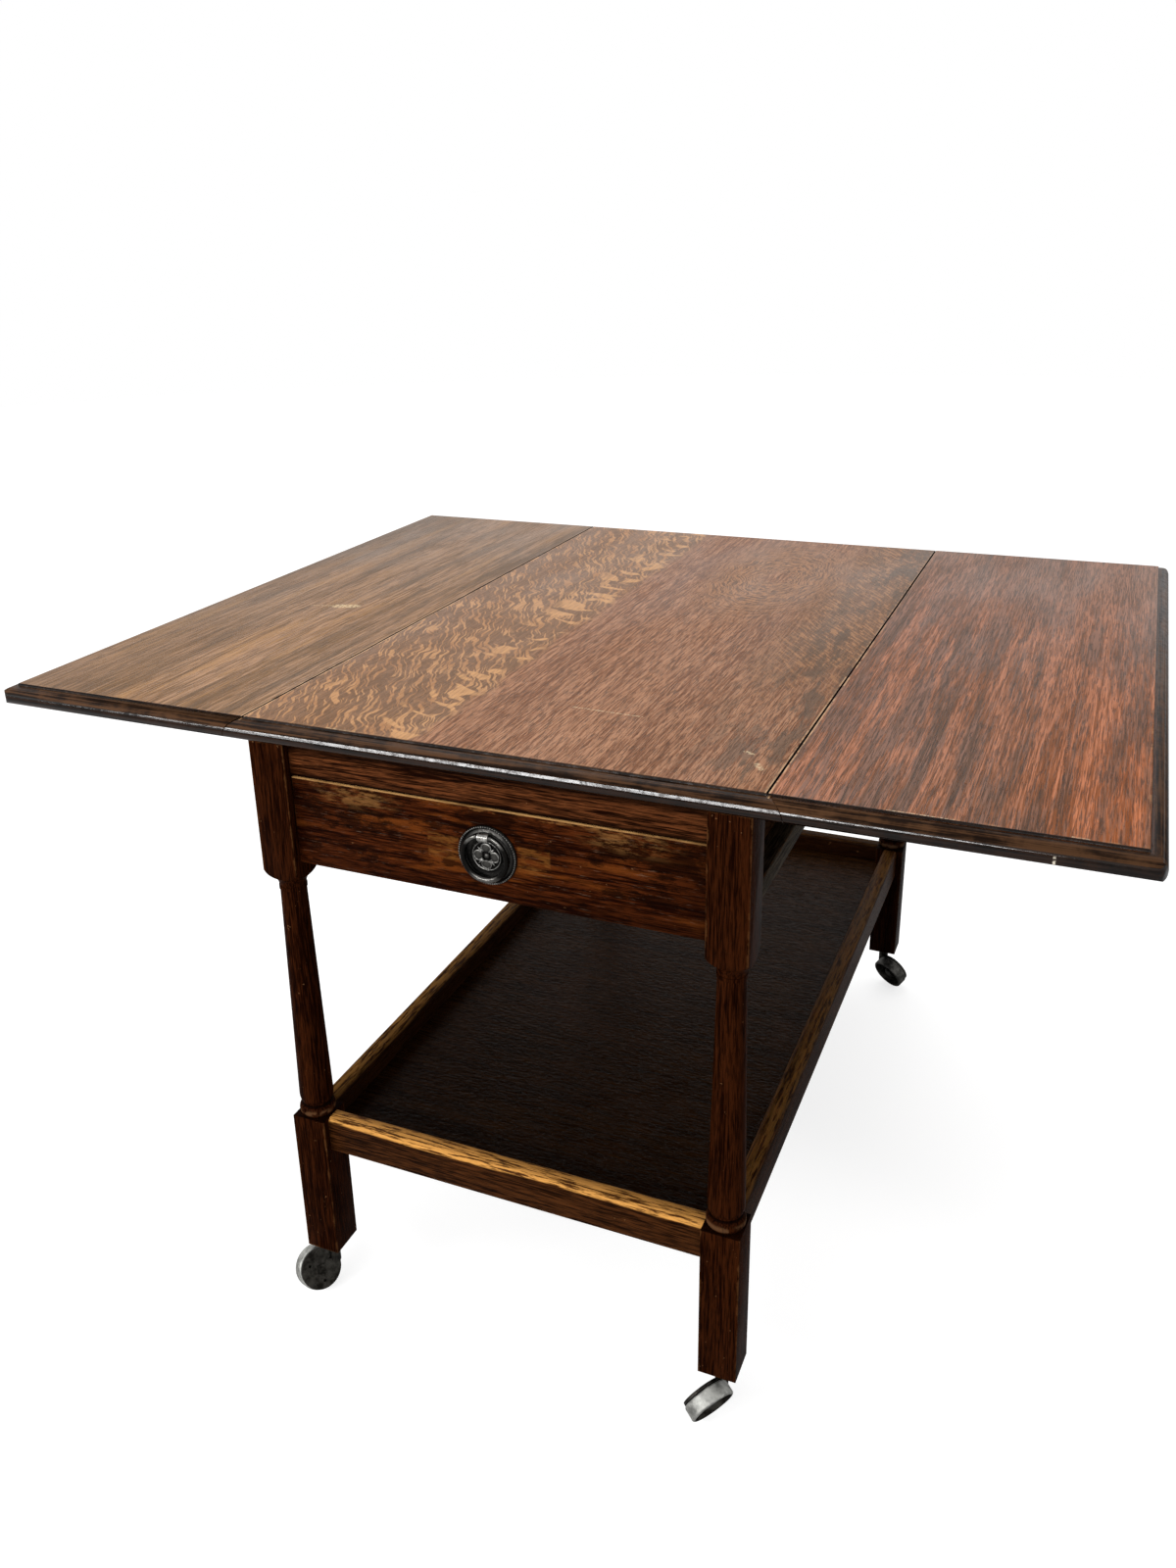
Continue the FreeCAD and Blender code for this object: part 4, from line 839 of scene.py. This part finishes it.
# Plate, boss and beads are painted bright where they stand nearest: partly rubbed metal, partly painted
# highlight.
pull_plate = rubbed_and_highlit_metal("pull_plate_metal", plate_low.y + 0.0012, plate_low.y - 0.0004,
                          BLACKENED, (0.045, 0.043, 0.040))
pull_boss = rubbed_and_highlit_metal("pull_boss_metal", boss_low.y + 0.0016, boss_low.y - 0.0004,
                         BLACKENED, (0.070, 0.067, 0.062))
pull_bead = rubbed_and_highlit_metal("pull_bead_metal", plate_low.y - 0.0002, plate_low.y - 0.0011,
                         (0.012, 0.011, 0.010), (0.15, 0.145, 0.135))
print(pull_plate.name, pull_boss.name, pull_bead.name)

# %% The ring, rubbed and painted with highlights at its foot and on its shoulders
f = Finish("pull_ring_rubbed_and_highlit")
cloud = f.cloud(260, detail=4, roughness=0.65)
foot = f.times(f.step(f.z, ring_low.z + 0.001, ring_low.z + 0.009, 1.0, 0.0),
               f.step(f.y, ring_low.y, ring_low.y + 0.0018, 1.0, 0.0))
shoulder = f.times(f.step(f.z, ring_high.z - 0.012, ring_high.z - 0.006),
                   f.step(f.y, ring_low.y + 0.0002, ring_low.y + 0.0012, 1.0, 0.0))
# The foot and shoulders are painted bright: partly rubbed metal, partly painted highlight.
rubbed = f.times(f.most(foot, shoulder), f.step(cloud, 0.3, 0.6, 0.6, 1.0))
colour = f.mix(rubbed, (0.010, 0.0093, 0.0085), (0.17, 0.163, 0.152))
pull_ring_metal = f.finish(colour, f.step(cloud, 0.3, 0.7, 0.16, 0.30), cloud, 0.00006, metallic=1.0)
print(pull_ring_metal.name, len(pull_ring_metal.node_tree.nodes), "nodes")

# %% [markdown]
# ## Easing the sharp edges
#
# A planed board never keeps a knife edge. The solids have sharp arrises, so each board that is seen close is
# copied, its loose triangles are merged into flat faces, and its sharp edges are bevelled by about half a
# millimetre to a millimetre and a half. A bevel modifier picks its edges by angle alone; here their length and
# place count too. The copy then stands for the solid, which stays in the model for collision, hidden.

# %% Easing helpers
BEVEL_ANGLE, SMOOTH_ANGLE, FLAT_ANGLE = math.radians(35), math.radians(40), math.radians(0.5)
MERGE_REACH = 1e-6


def long_edges(bm, least):
    """The sharp straight edges of a board, leaving out the short ones of its curves."""
    sharp = [edge for edge in bm.edges if edge.is_manifold and edge.calc_face_angle() > BEVEL_ANGLE]
    return [edge for edge in sharp if edge.calc_length() > least]


def round_off(bm, edges, width, segments):
    """Bevel some edges to a round."""
    bmesh.ops.bevel(bm, geom=edges, offset=width, offset_type="OFFSET", affect="EDGES", segments=segments,
                    profile=0.5, material=-1, clamp_overlap=True)


def eased(node, width, material, least=0.006, first=None):
    """A copy of a solid in place of the node, with its sharp edges rounded. What first does comes before."""
    bm = bmesh.new()
    bm.from_mesh(nodes[node].data)
    bmesh.ops.remove_doubles(bm, verts=bm.verts, dist=MERGE_REACH)
    bmesh.ops.dissolve_limit(bm, angle_limit=FLAT_ANGLE, verts=bm.verts, edges=bm.edges)
    if first:
        first(bm)
    round_off(bm, long_edges(bm, least), width, 2)
    bmesh.ops.recalc_face_normals(bm, faces=bm.faces)
    mesh = bpy.data.meshes.new(f"{node}_eased")
    bm.to_mesh(mesh)
    bm.free()
    mesh.shade_smooth()
    mesh.set_sharp_from_angle(angle=SMOOTH_ANGLE)
    mesh.materials.append(material)
    piece = bpy.data.objects.new(f"{node}_eased", mesh)
    scene.collection.objects.link(piece)
    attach(piece, body_of_node[node])
    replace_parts(piece, node)
    return piece


print("easing helpers ready")

# %% Worn edges of the boards
TOUCH, NOSE_TOUCH, SEAM_TOUCH = 1e-4, 2e-4, 0.0009
CORNER_ROUND, JOINT_ROUND, SEAM_LEAST = 0.005, 0.0005, 0.1


def at_field_corner(place):
    return abs(abs(place.x) - FIELD_X) < TOUCH and abs(abs(place.y) - FIELD_Y) < TOUCH


def on_seam(place):
    return abs(abs(place.x) - SEAM_X) < SEAM_TOUCH and place.z > board_high.z - TOUCH


def round_field_corners(bm):
    """Round the upright edges where two sides of a leaf's field meet."""
    upright = [edge for edge in bm.edges if all(at_field_corner(v.co) for v in edge.verts)]
    round_off(bm, upright, CORNER_ROUND, 5)


def open_joints(bm):
    """Round the long upper edges of the rule joints more than the others, as wear has done."""
    seams = [edge for edge in bm.edges if all(on_seam(v.co) for v in edge.verts)]
    round_off(bm, [edge for edge in seams if edge.calc_length() > SEAM_LEAST], JOINT_ROUND, 2)


def worn_nose(bm):
    """Take out the edge at the middle of the nose, which leaves the narrow flat that wear has made there."""
    middle = [edge for edge in bm.edges if all(abs(v.co.z - NOSE_Z) < NOSE_TOUCH for v in edge.verts)]
    bmesh.ops.dissolve_edges(bm, edges=middle, use_verts=True)


def board_edges(bm):
    open_joints(bm)
    worn_nose(bm)


def leaf_edges(bm):
    round_field_corners(bm)
    board_edges(bm)


print("field corners rounded by", CORNER_ROUND)

# %% The boards of the top
NOSE, UNDERSIDE, JOINT, BAND = 1, 2, 3, 4
BOARD_EASE, UNDER_DEPTH, JOINT_REACH, RIM_REACH = 0.0004, 0.0005, 0.0014, 0.0003
UNDER_SLOPE, JOINT_SLOPE, BAND_SLOPE = -0.9, 0.98, 0.45
FACET_LOW, FACET_HIGH = 0.31, 0.37


def board(node, field, first=board_edges):
    """A board of the top. Its field, moulding, underside and joints take their finishes face by face.

    One facet of the nose is left flat, so that it catches the lamp as a line.
    """
    mesh = eased(node, BOARD_EASE, field, first=first).data
    for finish in (oak_nose, oak_underside, joint_shadow, oak_band):
        mesh.materials.append(finish)
    for face in mesh.polygons:
        past_rim = max(abs(face.center.x) - FIELD_X, abs(face.center.y) - FIELD_Y)
        up = face.normal.z
        if up < UNDER_SLOPE and face.center.z < board_low.z + UNDER_DEPTH:
            face.material_index = UNDERSIDE
        elif abs(abs(face.center.x) - SEAM_X) < JOINT_REACH and up < JOINT_SLOPE:
            face.material_index = JOINT
        elif past_rim > -RIM_REACH:
            # Faces that look up take the band, which is painted lighter as if lit from above.
            face.material_index = BAND if up > BAND_SLOPE else NOSE
            face.use_smooth = not FACET_LOW < up < FACET_HIGH


board("top_board", oak_centre)
board("left_leaf", oak_left, leaf_edges)
board("right_leaf", oak_right, leaf_edges)
print("boards eased by", BOARD_EASE)

# %% Legs, rails and drawer
LEG_EASE, BAR_EASE, RAIL_EASE = 0.0012, 0.0015, 0.0008


def dress(node, material):
    """Give a solid that stays as it is its finish."""
    nodes[node].data.materials.clear()
    nodes[node].data.materials.append(material)


for corner in ("front_left", "front_right", "rear_left", "rear_right"):
    eased(f"leg_{corner}", LEG_EASE, oak_leg, least=0.02)
eased("frieze_rail", RAIL_EASE, oak_frieze)
eased("rear_apron", LEG_EASE, oak_apron)
eased("drawer_front", RAIL_EASE, oak_drawer)
for side in ("left", "right"):
    eased(f"side_bar_{side}", BAR_EASE, oak_bar)
    eased(f"tray_rail_{side}", RAIL_EASE, oak_tray[side])
    dress(f"top_rail_{side}", oak_top_rail)
    dress(f"drawer_side_{side}", raw_along)
    dress(f"drawer_runner_{side}", raw_along)
for end in ("front", "rear"):
    eased(f"tray_rail_{end}", RAIL_EASE, oak_tray[end])
dress("tray_floor", oak_tray_floor)
dress("drawer_back", raw_across)
dress("drawer_bottom", raw_along)
dress("glue_blocks", raw_across)
print("legs, rails and drawer eased and dressed")

# %% Metal pieces take their finishes
WHEEL_EASE, TREAD_SHARE = 0.0006, 0.88
joints = frame["record"]["behaviour"]["joints"]
roll_axis = {joint["child"]: Vector(joint["axis"]) for joint in joints if "axis" in joint}


def wheel(node):
    """A wheel's tread is pale where it rolls, and darker at the rear as painted shade; its two faces and its
    hollow are dark.
    """
    axis = roll_axis[body_of_node[node]]
    tread = castor_dull if "rear" in node else castor_pale
    mesh = eased(node, WHEEL_EASE, tread, least=0.001).data
    mesh.materials.append(castor_dark)
    middle = sum((v.co for v in mesh.vertices), Vector()) / len(mesh.vertices)
    radius = max((v.co - middle).cross(axis).length for v in mesh.vertices)
    for face in mesh.polygons:
        out = face.center - middle
        out -= axis * out.dot(axis)
        rolls = face.normal.dot(out) > 0 and out.length > TREAD_SHARE * radius
        face.material_index = 0 if rolls else 1


for node in nodes:
    if node.startswith("castor_wheel"):
        wheel(node)
    elif node.startswith("castor_"):
        dress(node, castor_dark)
    elif node.startswith(("board_hinge", "leaf_hinge", "hinge_pins", "stay_")):
        dress(node, hinge_steel)
dress("pull_plate", pull_plate)
dress("pull_post", pull_knuckle)
dress("pull_boss", pull_boss)
for node in ("pull_plate", "pull_post", "pull_boss"):
    nodes[node].data.shade_smooth()
    nodes[node].data.set_sharp_from_angle(angle=SMOOTH_ANGLE)
print("metal dressed")

# %% [markdown]
# ## Ornament of the pull
#
# A row of small beads runs round the rim of the back plate. On its boss a curled rim and a vein draw each of
# the four petals, and a leaf tip shows between every two. The knuckle is ribbed, and the hanging ring swells
# towards its foot. The beads are one ball spun about the plate's centre. A modifier on a curve could make the
# rest, but bars whose thickness changes are simpler as circles set along a line of points and bridged.

# %% Bars
RIGHT, ACROSS, UP = Vector((1, 0, 0)), Vector((0, 1, 0)), Vector((0, 0, 1))


def on_ellipse(centre, out, side, long, wide, angle):
    """A point on an ellipse whose half axes are long, towards out, and wide, towards side."""
    return centre + out * (long * math.cos(angle)) + side * (wide * math.sin(angle))


def bar(bm, points, radii, flat, closed=False, sides=10):
    """Bend a round bar along points that lie in a plane square to flat; each point has its own radius."""
    last = len(points) - 1
    loops = []
    for i, (point, radius) in enumerate(zip(points, radii)):
        before = points[i - 1] if closed or i > 0 else point
        after = points[(i + 1) % len(points)] if closed or i < last else point
        along = (after - before).normalized()
        turn = Matrix((-flat, along.cross(flat), along)).transposed().to_4x4()
        place = Matrix.Translation(point) @ turn
        made = bmesh.ops.create_circle(bm, segments=sides, radius=radius, matrix=place)["verts"]
        loops.append(list(dict.fromkeys(edge for vert in made for edge in vert.link_edges)))
    for first, second in zip(loops, loops[1:] + loops[:1] if closed else loops[1:]):
        bmesh.ops.bridge_loops(bm, edges=first + second)
    if not closed:
        bmesh.ops.edgeloop_fill(bm, edges=loops[0])
        bmesh.ops.edgeloop_fill(bm, edges=loops[-1])


print("bar helper ready")

# %% Balls and finished pieces
def ball(bm, where, radius, subdivisions=2):
    """Add a ball at a place."""
    made = bmesh.ops.create_icosphere(bm, subdivisions=subdivisions, radius=radius)["verts"]
    bmesh.ops.translate(bm, verts=made, vec=where)


def metal_piece(name, bm, material, body):
    """Turn built faces into a smooth piece that rides on a body."""
    bmesh.ops.recalc_face_normals(bm, faces=bm.faces)
    mesh = bpy.data.meshes.new(name)
    bm.to_mesh(mesh)
    bm.free()
    mesh.shade_smooth()
    mesh.materials.append(material)
    piece = bpy.data.objects.new(name, mesh)
    scene.collection.objects.link(piece)
    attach(piece, body)
    print(name, len(mesh.polygons), "faces")
    return piece


print("ball helper ready")

# %% Beaded rim
BEADS, BEAD_RADIUS, BEAD_INSET, BEAD_SINK = 76, 0.00115, 0.0013, 0.0001
plate_centre = (plate_low + plate_high) / 2
bead_circle = (plate_high.x - plate_low.x) / 2 - BEAD_INSET
bm = bmesh.new()
ball(bm, (plate_centre.x + bead_circle, plate_low.y + BEAD_SINK, plate_centre.z), BEAD_RADIUS)
bmesh.ops.spin(bm, geom=bm.verts[:] + bm.edges[:] + bm.faces[:], cent=plate_centre, axis=ACROSS,
               dvec=(0, 0, 0), angle=math.tau * (BEADS - 1) / BEADS, steps=BEADS - 1,
               use_duplicate=True, use_merge=False)
metal_piece("pull_beads", bm, pull_bead, "drawer")

# %% Petals, leaf tips and the fine ring round them
PETALS, PETAL_CIRCLE, PETAL_SINK = 4, 0.008, 0.0009
RIM_LONG, RIM_WIDE, RIM_BAR, RIM_TAPER = 0.0042, 0.0047, 0.0004, 2.4
VEIN_LONG, VEIN_WIDE, VEIN_BACK, VEIN_BAR = 0.0026, 0.0024, 0.0004, 0.0004
LEAF_REACH, LEAF_BAR = (0.0045, 0.0070, 0.0095, 0.0118), (0.0004, 0.0010, 0.0008, 0.0002)
FINE_RING, FINE_RING_SINK, FINE_BAR, FINE_NOTCH = 0.0138, 0.0006, 0.0005, 0.0001
flower = Vector((plate_centre.x, boss_low.y + PETAL_SINK, plate_centre.z))
sweep = [math.radians(angle) for angle in range(-150, 151, 15)]
circle = [math.tau * i / 64 for i in range(64)]
bm = bmesh.new()
for k in range(PETALS):
    angle = math.tau * k / PETALS + math.pi / 2
    out = Vector((math.cos(angle), 0, math.sin(angle)))
    side = Vector((-math.sin(angle), 0, math.cos(angle)))
    centre = flower + out * PETAL_CIRCLE
    rim = [on_ellipse(centre, out, side, RIM_LONG, RIM_WIDE, t) for t in sweep]
    bar(bm, rim, [RIM_BAR + RIM_BAR * math.cos(t / RIM_TAPER) for t in sweep], ACROSS)
    root = centre - out * VEIN_BACK
    vein = [on_ellipse(root, out, side, VEIN_LONG, VEIN_WIDE, t) for t in sweep[4:-4]]
    bar(bm, vein, [VEIN_BAR] * len(vein), ACROSS, sides=6)
    between = (out + side).normalized()
    bar(bm, [flower + between * reach for reach in LEAF_REACH], LEAF_BAR, ACROSS, sides=6)
ring_centre = flower + ACROSS * FINE_RING_SINK
fine_ring = [on_ellipse(ring_centre, RIGHT, UP, FINE_RING, FINE_RING, t) for t in circle]
bar(bm, fine_ring, [FINE_BAR + FINE_NOTCH * (i % 2) for i in range(len(circle))], ACROSS, closed=True)
metal_piece("pull_petal_rims", bm, pull_bright, "drawer")

# %% Ribbed knuckle
RIB_PLACES, RIB_BAR = (-0.0036, -0.0012, 0.0012, 0.0036), 0.0006
post_low, post_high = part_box("pull_post")
barrel_radius = (post_high.z - post_low.z) / 2
barrel = Vector((0, post_low.y + barrel_radius, (post_low.z + post_high.z) / 2))
bm = bmesh.new()
for x in RIB_PLACES:
    centre = barrel + RIGHT * x
    rib = [on_ellipse(centre, ACROSS, UP, barrel_radius, barrel_radius, t) for t in circle[::3]]
    bar(bm, rib, [RIB_BAR] * len(rib), RIGHT, closed=True, sides=6)
metal_piece("pull_knuckle_ribs", bm, pull_knuckle, "drawer")

# %% Swelling ring, with its straight bar in the knuckle
SWELL, SWELL_POWER = 0.0009, 1.5
wire = (ring_high.y - ring_low.y) / 2
hoop_radius = (ring_high.x - ring_low.x) / 2 - wire
hoop = Vector((0, ring_low.y + wire, ring_low.z + hoop_radius + wire))
bar_rise = ring_high.z - wire - hoop.z
half_bar = math.sqrt(hoop_radius ** 2 - bar_rise ** 2)
opening = math.asin(half_bar / hoop_radius)
bends = [math.pi / 2 + opening + (math.tau - 2 * opening) * i / 60 for i in range(61)]
swelling = [wire + SWELL * (0.5 - 0.5 * math.sin(t)) ** SWELL_POWER for t in bends]
bar_ends = [hoop + Vector((x, 0, bar_rise)) for x in (-half_bar, half_bar)]
bm = bmesh.new()
bar(bm, [on_ellipse(hoop, RIGHT, UP, hoop_radius, hoop_radius, t) for t in bends], swelling, ACROSS, sides=16)
bar(bm, bar_ends, [wire, wire], ACROSS, sides=16)
for place in bar_ends:
    ball(bm, place, wire, 3)
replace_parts(metal_piece("pull_ring_swelling", bm, pull_ring_metal, "pull_ring"), "pull_ring")
